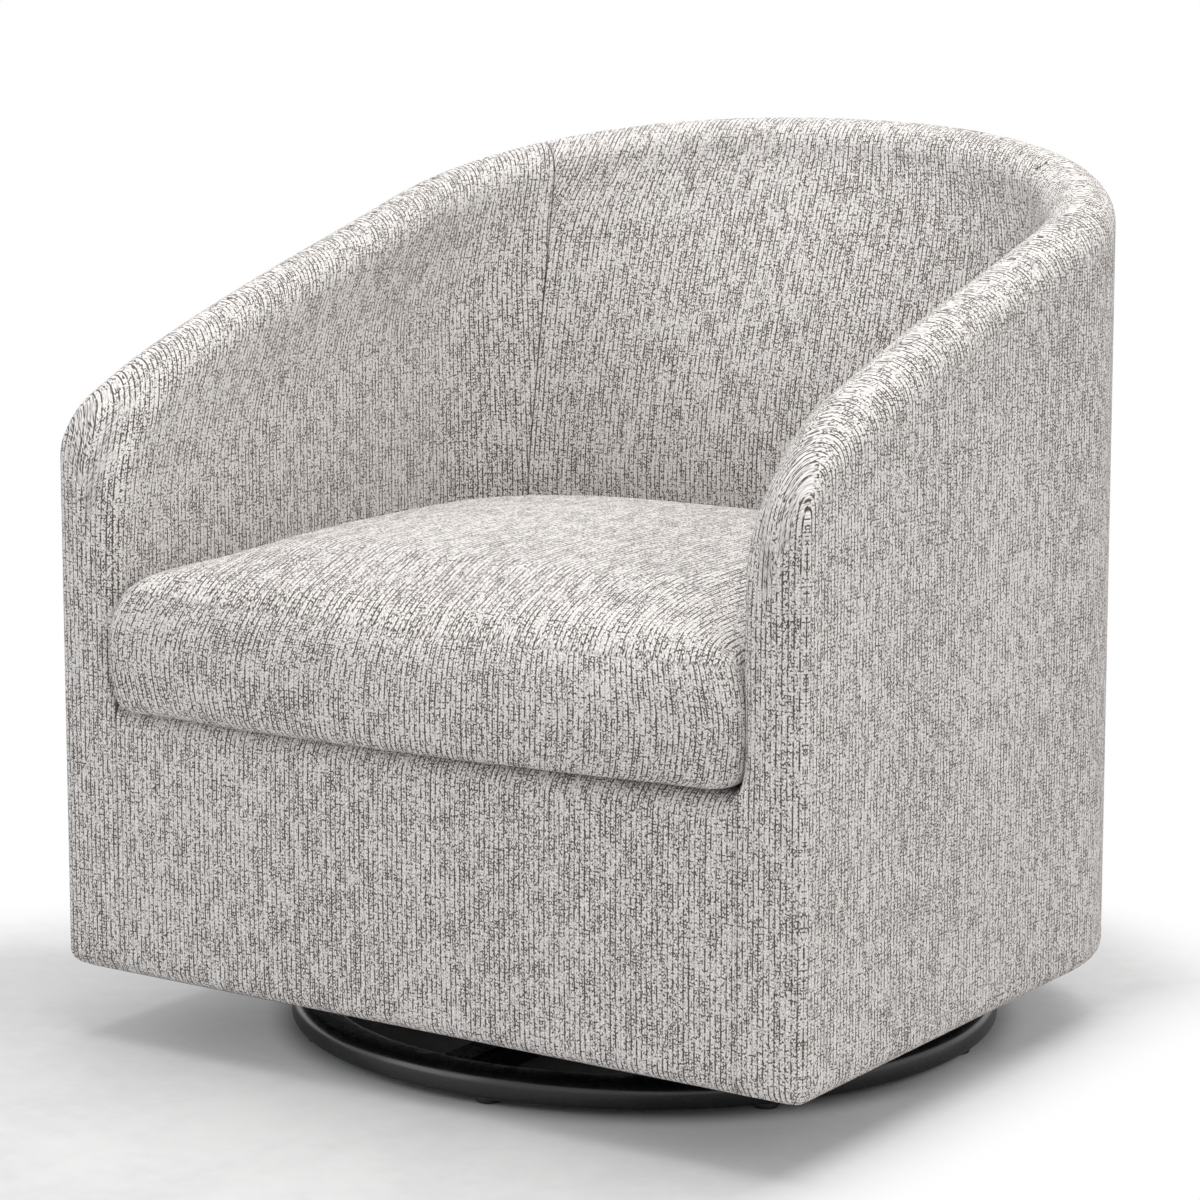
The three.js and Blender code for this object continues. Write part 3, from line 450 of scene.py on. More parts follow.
@dataclass(frozen=True)
class Wood:
    """Planed timber, or plywood whose edges show their plies."""

    name: str
    early: tuple = linear(206, 172, 128)
    late: tuple = linear(166, 124, 80)
    plies: bool = False
    ring_waves: float = 95.0
    ply_waves: float = 390.0
    pore_depth: float = 0.0002

    def material(self) -> bpy.types.Material:
        """The wood's material.

        The rings are sine waves up the piece, warped by noise drawn out along x. Pores are finer
        noise drawn out the same way, and plies are sine waves along x.

        Returns:
            The material.
        """
        s = Shader(self.name)
        place = s.place()
        warp = s.noise(s.scaled(place, (0.12, 1.0, 1.0)), 14.0, 3.0)
        rings = ((s.part(place, "Z") * self.ring_waves + warp * 9.0) * math.tau).sin() * 0.5 + 0.5
        pores = s.noise(s.scaled(place, (0.06, 1.0, 1.0)), 900.0, 2.0).ramp(0.55, 0.75)
        share = rings * 0.55 + pores * 0.5
        if self.plies:
            ply = ((s.part(place, "X") * self.ply_waves) * math.tau).sin().ramp(-0.4, 0.6)
            share = share * 0.7 + ply * 0.18
        return s.finish(Base_Color=s.mix(share.at_most(1.0), self.early, self.late),
                        Roughness=pores * 0.15 + 0.62, Normal=s.bump(1.0 - pores, self.pore_depth, 0.5))


@dataclass(frozen=True)
class Moulded:
    """Rubber or plastic with a fine moulded grain."""

    name: str
    colour: tuple
    pale: tuple
    roughness: float
    grain_depth: float = 0.0001

    def material(self) -> bpy.types.Material:
        """The moulding's material: fine grain in colour, roughness and height.

        Returns:
            The material.
        """
        s = Shader(self.name)
        place = s.place()
        grain = s.noise(place, 1500.0, 2.0)
        patch = s.noise(place, 55.0, 3.0).ramp(0.4, 0.7)
        return s.finish(Base_Color=s.mix(grain * 0.35 + patch * 0.4, self.colour, self.pale),
                        Roughness=grain * 0.12 + patch * 0.1 + self.roughness,
                        Normal=s.bump(grain, self.grain_depth, 0.6))


@dataclass(frozen=True)
class Lining:
    """Black non-woven lining with pressed dots and loose fibres."""

    name: str = "black_lining"
    colour: tuple = linear(26, 26, 28)
    pale: tuple = linear(52, 52, 56)
    dot_turns: float = 2600.0
    depth: float = 0.0003

    def material(self) -> bpy.types.Material:
        """The lining's material: a dot where two sine waves peak together, over fibre noise.

        Returns:
            The material.
        """
        s = Shader(self.name)
        place = s.place()
        waves = [(s.part(place, axis) * self.dot_turns).sin() for axis in "XY"]
        dots = (waves[0] * waves[1]).ramp(0.35, 0.8)
        fibre = s.noise(place, 1300.0, 4.0, 0.7)
        return s.finish(Base_Color=s.mix(fibre * 0.7 + dots * 0.25, self.colour, self.pale),
                        Roughness=0.9 - dots * 0.25, Sheen_Weight=0.1,
                        Normal=s.bump(fibre * 0.6 - dots * 0.6, self.depth, 0.7))


class Finish(enum.Enum):
    """The finishes that the chair's pieces take, by the record's slots."""

    UPHOLSTERY = "upholstery"
    CUSHION = "cushion_cloth"
    LINING = "lining"
    ENAMEL = "black_paint"
    STEEL = "bare_steel"
    WIRE = "spring_steel"
    TIMBER = "timber"
    PLYWOOD = "plywood"
    RUBBER = "rubber"
    PLASTIC = "black_plastic"


class Finishes:
    """Makes each finish once and puts it on pieces."""

    def __init__(self) -> None:
        """Makes every material."""
        recipes = {
            Finish.UPHOLSTERY: Chenille("chenille"),
            Finish.CUSHION: Chenille("cushion_chenille", seam=True),
            Finish.LINING: Lining(),
            Finish.ENAMEL: Enamel(),
            Finish.STEEL: Metal("zinc_steel", linear(176, 178, 180), linear(128, 128, 126)),
            Finish.WIRE: Metal("spring_wire", linear(96, 96, 98), linear(58, 54, 50), 0.38),
            Finish.TIMBER: Wood("planed_timber"),
            Finish.PLYWOOD: Wood("plywood", linear(214, 184, 142), linear(176, 140, 98), True),
            Finish.RUBBER: Moulded("black_rubber", linear(22, 22, 24), linear(44, 44, 46), 0.72),
            Finish.PLASTIC: Moulded("glide_plastic", linear(20, 20, 22), linear(40, 40, 42), 0.42),
        }
        self.made = {kind: recipe.material() for kind, recipe in recipes.items()}

    def put(self, piece: bpy.types.Object, kind: Finish, node: str) -> bpy.types.Object:
        """Gives a new piece its material and slot, and lets it stand for a CAD node.

        Args:
            piece: the new piece.
            kind: its finish.
            node: the node that it replaces.

        Returns:
            The piece.
        """
        piece.data.materials.append(self.made[kind])
        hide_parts(node)
        return piece

    def dress_frame(self) -> int:
        """Puts each carried-over CAD node's material in its slots.

        Returns:
            How many nodes were dressed.
        """
        slots = {part["node"]: part["material_slot"] for part in frame["record"]["subparts"]}
        for name, node in frame["nodes"].items():
            for slot in node.material_slots:
                slot.material = self.made[Finish(slots[name])]
        return len(frame["nodes"])


# Surfaces


@dataclass
class Patch:
    """A grid of points with its maps.

    points is (rows, columns, 3) and weave (rows, columns, 2). The second map holds the panel's
    number and a coordinate that keeps its flecks apart from those of a mirrored neighbour.
    """

    points: np.ndarray
    weave: np.ndarray
    number: int = 0
    apart: np.ndarray | float = 0.0

    def panel(self) -> np.ndarray:
        """The second map: the panel's number and the coordinate for each point."""
        shape = self.points.shape[:2]
        return np.stack([np.full(shape, float(self.number)), np.broadcast_to(self.apart, shape)], -1)


def build_mesh(name: str, patches: Sequence[Patch], merge: float = 2e-6) -> bpy.types.Object:
    """Joins grids into one closed mesh object.

    The square at row i and column j of a grid has the corners (i, j), (i, j+1), (i+1, j+1) and
    (i+1, j). Points of neighbouring grids that coincide are merged, and faces then turn outwards.

    Args:
        name: the object's name.
        patches: the grids.
        merge: how near two points are merged.

    Returns:
        The object, linked to the scene.
    """
    corners, faces, maps, panels, start = [], [], [], [], 0
    for patch in patches:
        rows, columns = patch.points.shape[:2]
        index = start + np.arange(rows * columns).reshape(rows, columns)
        quads = np.stack([index[:-1, :-1], index[:-1, 1:], index[1:, 1:], index[1:, :-1]], -1)
        corners.append(patch.points.reshape(-1, 3))
        faces.append(quads.reshape(-1, 4))
        maps.append(patch.weave.reshape(-1, 2))
        panels.append(patch.panel().reshape(-1, 2))
        start += rows * columns
    points, quads = np.concatenate(corners), np.concatenate(faces)
    mesh = bpy.data.meshes.new(name)
    mesh.from_pydata(points, [], quads, shade_flat=False)
    for title, values in (("weave", maps), ("panel", panels)):
        layer = mesh.uv_layers.new(name=title)
        layer.data.foreach_set("uv", np.concatenate(values)[quads.ravel()].astype(np.float32).ravel())
    welder = bmesh.new()
    welder.from_mesh(mesh)
    bmesh.ops.remove_doubles(welder, verts=welder.verts, dist=merge)
    bmesh.ops.recalc_face_normals(welder, faces=welder.faces)
    welder.to_mesh(mesh)
    welder.free()
    piece = bpy.data.objects.new(name, mesh)
    bpy.context.scene.collection.objects.link(piece)
    return piece


def read_points(mesh: bpy.types.Mesh) -> np.ndarray:
    """A mesh's points as an array."""
    flat = np.empty(len(mesh.vertices) * 3, np.float32)
    mesh.vertices.foreach_get("co", flat)
    return flat.reshape(-1, 3).astype(float)


def eased(low: float, high: float, value: np.ndarray) -> np.ndarray:
    """Smoothstep: rises from 0 at low to 1 at high as 3t squared less 2t cubed."""
    t = np.clip((value - low) / (high - low), 0, 1)
    return t * t * (3 - 2 * t)


def run(points: np.ndarray, axis: int) -> np.ndarray:
    """Length run along an axis of a grid from its start.

    Args:
        points: coordinates in the last axis.
        axis: the axis to follow.

    Returns:
        The summed lengths of the steps, 0 at the start.
    """
    steps = np.linalg.norm(np.diff(points, axis=axis), axis=-1)
    start = np.zeros_like(np.take(steps, [0], axis=axis))
    return np.concatenate([start, np.cumsum(steps, axis=axis)], axis=axis)


def corner_drop(set_back: np.ndarray, radius: float) -> np.ndarray:
    """How far a rounded corner lies inside its edge: r less the root of r squared less (r - e) squared."""
    near = np.clip(set_back, 0, radius)
    return radius - np.sqrt(np.maximum(radius**2 - (radius - near) ** 2, 0))


def surface_normals(points: np.ndarray) -> np.ndarray:
    """Unit normals of a grid whose columns close on themselves.

    Each is the cross product of the steps along the rows and along the columns.

    Args:
        points: the grid.

    Returns:
        The normals.
    """
    rows = np.gradient(points, axis=0)
    columns = np.roll(points, -1, axis=1) - np.roll(points, 1, axis=1)
    normal = np.cross(rows, columns)
    length = np.linalg.norm(normal, axis=-1, keepdims=True)
    return normal / np.maximum(length, 1e-12)


# Upholstered shell


@dataclass(frozen=True)
class PlanCurve:
    """One plan curve of the shell: straight along the arm, then a superellipse round the back."""

    half: float
    straight_y: float
    rise: float
    power: float
    seam: float
    front_y: float = -0.35
    straight_share: float = 0.62

    def points(self, share: np.ndarray, back: bool) -> np.ndarray:
        """Plan points of a part of the curve.

        On the straight, y runs evenly. On the turn, x is the half width times the cosine to a
        power, and y the turn's start plus its rise times the sine to that power.

        Args:
            share: places from 0 to 1, from the front to the seam or from the seam to the middle.
            back: True for the part behind the seam.

        Returns:
            An array of (x, y).
        """
        turned = share if back else (share - self.straight_share) / (1 - self.straight_share)
        start, end = (self.seam, QUARTER) if back else (0.0, self.seam)
        angle = start + (end - start) * np.clip(turned, 0, 1)
        x = self.half * np.maximum(np.cos(angle), 0) ** self.power
        y = self.straight_y + self.rise * np.sin(angle) ** self.power
        if not back:
            straight = self.front_y + (self.straight_y - self.front_y) * share / self.straight_share
            y = np.where(share <= self.straight_share, straight, y)
            x = np.where(share <= self.straight_share, self.half, x)
        return np.stack([x, y], -1)


@dataclass(frozen=True)
class ShellSizes:
    """Sizes shared by the arms, the back and the rail."""

    width: float = 0.750
    depth: float = 0.700
    low: float = 0.064
    arm_front: float = 0.564
    back_top: float = 0.787
    bow: float = 0.019
    arch: float = 0.010
    wall: float = 0.061
    roll: float = 0.030
    outer_nose: float = 0.038
    inner_nose: float = 0.110
    front_outer: float = 0.008
    front_inner: float = 0.020
    hem: float = 0.014
    lounge: float = 0.430
    lumbar: float = 0.009
    rail_top: float = 0.303
    deck_under: float = 0.285
    skin: float = 0.0097
    board_end: float = 0.0283
    board_foot: float = 0.0667
    pocket: float = 0.0277
    slip: float = 0.00035
    lip: float = 0.0003
    seam_roll: float = 0.0026
    outer: PlanCurve = PlanCurve(0.375, 0.110, 0.240, 2 / 2.2, math.radians(38))
    crest: PlanCurve = PlanCurve(0.314, 0.110, 0.179, 2 / 2.2, math.radians(38))
    inner: PlanCurve = PlanCurve(0.314, 0.040, 0.165, 2 / 4.55, math.radians(50))

    def crest_height(self, y: np.ndarray) -> np.ndarray:
        """Height of the crest at the middle of the wall: a straight slope with two slow sines on it."""
        share = (y + self.depth / 2) / (self.depth - self.wall / 2)
        bent = share + self.bow * np.sin(math.tau * share) + self.arch * np.sin(math.pi * share)
        return self.arm_front + (self.back_top - self.arm_front) * bent


@dataclass
class ShellSection:
    """Cross-sections of the padding at many stations at once.

    A section runs from the hem up the outside, over the crest, down the inside, out along the
    deck, and down and round the frame board. It has as many points outside as inside, so that the
    ends close on their middle line.
    """

    sizes: ShellSizes
    hem_points: int = 6
    face_points: int = 70
    crest_points: int = 28
    lean_points: int = 30
    low_points: int = 14
    foot_points: int = 6
    under_points: int = 4
    room_points: int = 8
    hook_points: int = 3
    solid_points: int = 19
    last_shares: tuple[float, float] = (0.4, 0.75)
    crest_blend: tuple[float, float] = (0.3, 0.7)
    lean_knee: float = 0.06
    pocket_ease: float = 0.0002
    low_clear: float = 0.001

    @property
    def side(self) -> int:
        """Points on the outer side, hem included."""
        return self.hem_points + self.face_points

    def shape(self, share: np.ndarray, back: bool) -> tuple[np.ndarray, np.ndarray, dict[str, np.ndarray]]:
        """Places every section.

        Each part of a section is worked out as the share across the wall, from 0 at the outer
        curve to 1 at the inner one, and the height. Where the inside leans, its share of the
        inner curve rather than the crest's is 1 less d squared over d plus the knee, times 1 plus
        the knee, with d the place up the lean. Over the crest the share follows 1 less a cosine
        and the height a sine, over half a turn. At an arm's front the frame's pocket gives way
        to solid padding.

        Args:
            share: the stations along the part.
            back: True for the back.

        Returns:
            Points (stations, section, 3), the share across the wall, and what the map needs.
        """
        z = self.sizes
        outer, crest, inner = (curve.points(share, back) for curve in (z.outer, z.crest, z.inner))
        thick = np.linalg.norm(outer - crest, axis=-1)
        behind = outer[:, 1] + z.depth / 2
        height = z.crest_height((outer[:, 1] + crest[:, 1]) / 2)
        nose = 0 if back else 1
        outer_top = height - corner_drop(behind, z.outer_nose) * nose
        inner_top = height - corner_drop(behind, z.inner_nose) * nose
        facts = {"thick": thick, "outer_top": outer_top, "inner_top": inner_top, "behind": behind}
        belly = (np.sin(QUARTER * np.clip(share, 0, 1)) if back else np.zeros_like(share))[:, None]
        start = (corner_drop(behind, z.front_outer) / thick * nose)[:, None]
        stop = (1 - corner_drop(behind, z.front_inner) / thick * nose)[:, None]
        solid = nose * (1 - eased(z.pocket - self.pocket_ease, z.pocket + self.pocket_ease, behind))[:, None]
        wall, outer_top, inner_top = thick[:, None], outer_top[:, None], inner_top[:, None]
        level = 0 * wall

        def column(*parts: np.ndarray) -> np.ndarray:
            """Joins parts of a section side by side."""
            return np.concatenate(parts, axis=1)

        def steps(first: float, last: float, count: int) -> np.ndarray:
            """This many even steps from a value, which is left out, to another."""
            return np.linspace(first, last, count + 1)[None, 1:]

        turn = np.linspace(0, QUARTER, self.hem_points, endpoint=False)[None, :]
        hem_x = start + z.hem * (1 - np.sin(turn)) / wall
        hem_z = z.low + z.hem * (1 - np.cos(turn)) + level
        rise = np.linspace(0, 1, self.face_points)[None, :]
        face_z = z.low + z.hem + (outer_top - z.roll - z.low - z.hem) * rise
        face_x = start + 0 * rise
        roll = (math.pi * np.arange(1, self.crest_points + 1) / (self.crest_points + 1))[None, :]
        across = (1 - np.cos(roll)) / 2
        crest_x = start + (stop - start) * across
        crest_z = outer_top + (inner_top - outer_top) * across - z.roll + z.roll * np.sin(roll)
        down = np.linspace(1, 0, self.lean_points)[None, :]
        lean_z = z.lounge + (inner_top - z.roll - z.lounge) * down
        lean_x = stop + z.lumbar * belly * np.sin(math.pi * down) / wall
        lean = 1 - down**2 / (down + self.lean_knee) * (1 + self.lean_knee) + level
        square = z.rail_top + z.front_inner
        low_z = steps(z.lounge, square, self.low_points) + level
        low_x = stop + 0 * low_z
        foot = steps(0, 1, self.foot_points)
        foot_z = square + (z.rail_top - z.lip - square) * foot + level
        foot_x = stop + (1 - stop) * foot
        under_z = steps(z.rail_top - z.lip, z.deck_under, self.under_points) + level
        under_x = 1 + 0 * under_z
        skin, board, hem = z.skin / wall, z.board_end / wall, z.hem / wall
        step, hook = steps(0, 1, self.room_points), steps(0, 1, self.hook_points)
        last = np.array([self.last_shares])
        room_x = column(1 + (skin - 1) * step, skin + 0 * step, skin + (board - skin) * hook,
                        board, board + (hem - board) * last)
        room_z = column(z.deck_under + 0 * step, z.deck_under + (z.board_foot - z.deck_under) * step,
                        z.board_foot + 0 * hook) + level
        solid_z = steps(z.deck_under, z.low + self.low_clear, self.solid_points) + level
        solid_x = column(1 + 0 * solid_z, 1 + level, 1 + (start + hem - 1) * last)
        lowest = z.low + level + np.zeros((1, 1 + last.size))
        end_x = room_x * (1 - solid) + solid_x * solid
        end_z = column(room_z, lowest) * (1 - solid) + column(solid_z, lowest) * solid

        share_x = column(hem_x, face_x, crest_x, lean_x, low_x, foot_x, under_x, end_x)
        heights = column(hem_z, face_z, crest_z, lean_z, low_z, foot_z, under_z, end_z)
        leans = column(0 * hem_x, 0 * face_x, 0 * crest_x, lean, 1 + 0 * low_x, 1 + 0 * foot_x,
                       1 + 0 * under_x, 1 + 0 * end_x)
        inside = crest[:, None, :] + (inner - crest)[:, None, :] * leans[..., None]
        plan = outer[:, None, :] + (inside - outer[:, None, :]) * share_x[..., None]
        return np.concatenate([plan, heights[..., None]], axis=-1), share_x, facts

    def rise_map(self, points: np.ndarray, facts: dict[str, np.ndarray]) -> np.ndarray:
        """Second weave coordinate: the height, which follows the cloth over the crest.

        On the faces it is the height. Over the crest it is the shoulder's height plus the length
        run from that shoulder, and the two sides' values blend across the middle of the crest.
        All of it is lifted by WEAVE_LIFT.

        Args:
            points: the sections.
            facts: the crest's heights.

        Returns:
            The coordinate for each point.
        """
        z = self.sizes
        length = run(points, 1)
        first, last = self.side - 1, self.side + self.crest_points
        from_outer = facts["outer_top"][:, None] - z.roll + length - length[:, [first]]
        from_inner = facts["inner_top"][:, None] - z.roll + length[:, [last]] - length
        across = (length - length[:, [first]]) / (length[:, [last]] - length[:, [first]])
        crest = from_outer + (from_inner - from_outer) * eased(*self.crest_blend, across)
        column = np.arange(points.shape[1])[None, :]
        over_crest = (column >= first) & (column <= last)
        return np.where(over_crest, crest, points[..., 2]) + WEAVE_LIFT


@dataclass
class ShellCover:
    """Shared work of the arms and the back: stations, seams and closing ends.

    The spacing is that on the straight, and turn_spacing its share on the turn. roll_end is the
    last station of a rolled edge, in rolls from the seam.
    """

    sizes: ShellSizes = field(default_factory=ShellSizes)
    spacing: float = 0.009
    turn_spacing: float = 0.6
    table: int = 4000
    table_power: float = 2.2
    roll_points: int = 7
    roll_end: float = 2.2

    def turn_shares(self, back: bool) -> tuple[np.ndarray, np.ndarray]:
        """Fine table of places and the mean length of the outer and inner curves up to them.

        It is finer after the straight, and towards the middle of the back, where the curves
        change fastest with the place.

        Args:
            back: True for the part behind the seam.

        Returns:
            The places and the lengths.
        """
        even = np.linspace(0, 1, self.table)
        if back:
            share = 1 - (1 - even) ** self.table_power
        else:
            share = self.sizes.outer.straight_share
            share = share + (1 - share) * even**2
        lengths = [run(curve.points(share, back), 0) for curve in (self.sizes.outer, self.sizes.inner)]
        return share, (lengths[0] + lengths[1]) / 2

    def seam_steps(self) -> np.ndarray:
        """Distances from a seam at which its rolled edge has stations."""
        roll = self.sizes.seam_roll
        turn = np.linspace(0, QUARTER, self.roll_points)
        return np.append(roll * (1 - np.cos(turn)), roll * self.roll_end)

    def rolled(self, points: np.ndarray, from_seam: np.ndarray) -> np.ndarray:
        """Draws the edge at a seam in along the outward normals, as a quarter circle.

        Args:
            points: the sections.
            from_seam: each station's distance from the seam.

        Returns:
            The moved points.
        """
        normal = surface_normals(points)
        probe = ShellSection(self.sizes).side // 2
        facing = np.sum(normal[:, probe, :2] * points[:, probe, :2], axis=-1).mean()
        normal = normal * (1 if facing > 0 else -1)
        inset = corner_drop(from_seam, self.sizes.seam_roll)
        return points - normal * inset[:, None, None]

    @staticmethod
    def closing(ring: np.ndarray, weave: np.ndarray, rings: int, crown: float,
                half: float | None = None) -> Patch:
        """Closes an end: rings that shrink on to the middle line between outer and inner points.

        Ring k lies the share k/n of the way to the middle, and the face swells by the crown times
        the share's parabola.

        Args:
            ring: the end section.
            weave: the map on it.
            rings: how many rings.
            crown: how far the face swells towards -Y.
            half: the half width from which the map is measured on the face, or None to keep it.

        Returns:
            The grid.
        """
        closed = np.concatenate([ring, ring[:1]])
        opposite = np.concatenate([ring[::-1], ring[-1:]])
        share = np.linspace(0, 1, rings + 1)[:, None, None]
        points = closed + (opposite - closed) / 2 * share
        swell = 1 - (1 - share[..., 0]) ** 2
        points[..., 1] -= crown * swell
        flat = np.concatenate([weave, weave[:1]])
        maps = np.broadcast_to(flat, (*points.shape[:2], 2)).copy()
        if half is None:
            return Patch(points, maps)
        maps[..., 0] = half - points[..., 0]
        maps[..., 1] = points[..., 2] + WEAVE_LIFT
        return Patch(points, maps, FRONT_PANEL, FLECK_TURN * np.clip(maps[..., 0] / ShellSizes.wall, 0, 1))

    @staticmethod
    def wrapped(points: np.ndarray, weave: np.ndarray, across: np.ndarray) -> Patch:
        """A grid of sections closed on themselves by repeating the first column."""
        apart = FLECK_TURN * np.clip(across, 0, 1)
        points, weave, apart = (np.concatenate([a, a[:, :1]], 1) for a in (points, weave, apart))
        return Patch(points, weave, 0, apart)


@dataclass
class ArmCover(ShellCover):
    """One padded arm: rounded nose, rolled crest and a front face flush with the rail."""

    side: int = 1
    front_crown: float = 0.0016
    hem_depth: float = 0.03
    nose_points: int = 25
    closing_rings: int = 8
    pocket_step: float = 0.0003
    seam_room: float = 0.012
    inside_blend: float = 0.15

    def stations(self) -> tuple[np.ndarray, np.ndarray]:
        """Places of the sections, close together at the nose and at the seam.

        Returns:
            The places and their distances from the seam along the outside.
        """
        z = self.sizes
        straight = z.outer.straight_y - z.outer.front_y
        nose = z.inner_nose * (1 - np.cos(np.linspace(0, QUARTER, self.nose_points)))
        room = [z.pocket - self.pocket_step, z.pocket + self.pocket_step]
        plain = np.arange(z.inner_nose + self.spacing, straight, self.spacing)
        along = np.unique(np.concatenate([nose, room, plain, [straight]]))
        share, length = self.turn_shares(False)
        full = length[-1] - z.slip
        turn = np.arange(self.spacing, full - self.seam_room, self.spacing * self.turn_spacing)
        ends = (full - self.seam_steps())[::-1]
        later = np.interp(np.concatenate([turn, ends]), length, share)
        places = np.concatenate([along / straight * z.outer.straight_share, later])
        plan = run(z.outer.points(places, False), 0)
        return places, plan[-1] - plan

    def weave(self, points: np.ndarray, across: np.ndarray, section: ShellSection,
              facts: dict[str, np.ndarray]) -> np.ndarray:
        """The weave map.

        Outside, the ribs are counted by the distance from the front edge. Over the crest they
        turn about the outer front corner, so the count is the hypotenuse of the place across and
        the distance back. Inside it is the place at the front plus the length run from there, and
        the two blend from the middle of the crest down the inside.

        Args:
            points: the sections.
            across: the share across the wall.
            section: how the sections are laid out.
            facts: the sections' facts.

        Returns:
            The map.
        """
        z = self.sizes
        plan = run(points[..., :2], 0)
        depth = plan[:, section.side // 2]
        past = np.maximum(depth - z.front_outer, 0)[:, None]
        wide = np.minimum(across, 1) * facts["thick"][:, None]
        outside = np.abs(depth - z.front_outer)[:, None] + 0 * plan
        over = np.hypot(wide, past)
        inside = wide[:1] + plan
        length = run(points, 1)
        middle = section.side + section.crest_points // 2
        below = length - length[:, [middle]]
        column = np.arange(points.shape[1])[None, :]
        place = np.where(column < section.side, outside, over)
        place = place + (inside - place) * eased(0.0, self.inside_blend, below)
        return np.stack([place, section.rise_map(points, facts)], -1)

    def build(self, finishes: Finishes) -> bpy.types.Object:
        """Builds and dresses the arm.

        Args:
            finishes: the materials.

        Returns:
            The arm.
        """
        z = self.sizes
        section = ShellSection(z)
        places, from_seam = self.stations()
        points, across, facts = section.shape(places, False)
        weave = self.weave(points, across, section, facts)
        low = corner_drop(points[..., 2] - z.low, z.hem)
        fade = np.clip(1 - facts["behind"] / self.hem_depth, 0, 1)
        points[..., 1] += low * fade[:, None]
        points = self.rolled(points, from_seam)
        front = self.closing(points[0], weave[0], self.closing_rings, self.front_crown, z.width / 2)
        patches = [self.wrapped(points, weave, across), front, self.closing(points[-1], weave[-1], 1, 0.0)]
        if self.side < 0:
            for patch in patches:
                patch.points = patch.points * MIRROR
                patch.weave = patch.weave * MIRROR[:2] + [z.width, 0]
        node = "right_arm" if self.side > 0 else "left_arm"
        piece = finishes.put(build_mesh(f"{node}_cover", patches), Finish.UPHOLSTERY, node)
        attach(piece, "seat")
        return piece


@dataclass
class BackCover(ShellCover):
    """The padded back, swept from seam to seam.

    first_gap and last_gap are shares of the spacing, left after the seam and before the middle.
    """

    turn_spacing: float = 0.7
    first_gap: float = 0.6
    last_gap: float = 0.3
    map_start: float = 2.0
    outside_blend: float = 0.17

    def build(self, finishes: Finishes) -> bpy.types.Object:
        """Builds and dresses the back.

        Outside, over the crest and inside, the ribs are counted from the middle of the back by
        the length run at that level, and the outer and inner counts blend over the crest.

        Args:
            finishes: the materials.

        Returns:
            The back.
        """
        z = self.sizes
        section = ShellSection(z)
        share, length = self.turn_shares(True)
        ends = z.slip + self.seam_steps()
        rest = np.arange(ends[-1] + self.spacing * self.first_gap,
                         length[-1] - self.spacing * self.last_gap, self.spacing * self.turn_spacing)
        places = np.interp(np.concatenate([ends, rest, [length[-1]]]), length, share)
        half, across, facts = section.shape(places, True)

        def both(values: np.ndarray, flip: Any = 1) -> np.ndarray:
            """The right half's values and, from the middle on, the left half's."""
            return np.concatenate([values, values[:-1][::-1] * flip])

        points = both(half, MIRROR)
        facts = {key: both(value) for key, value in facts.items()}
        plan = run(points[..., :2], 0)
        counted = plan - plan[[len(half) - 1]]
        outside = counted[:, [section.side // 2]]
        along = run(points, 1)
        over = eased(0.0, self.outside_blend, along - along[:, [section.side - 1]])
        place = outside + (counted - outside) * over
        weave = np.stack([self.map_start + place, section.rise_map(points, facts)], -1)
        points = self.rolled(points, both(run(z.outer.points(places, True), 0)))
        ends = [self.closing(points[end], weave[end], 1, 0.0) for end in (0, -1)]
        patches = [self.wrapped(points, weave, both(across)), *ends]
        piece = finishes.put(build_mesh("back_cover", patches), Finish.UPHOLSTERY, "back")
        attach(piece, "seat")
        return piece


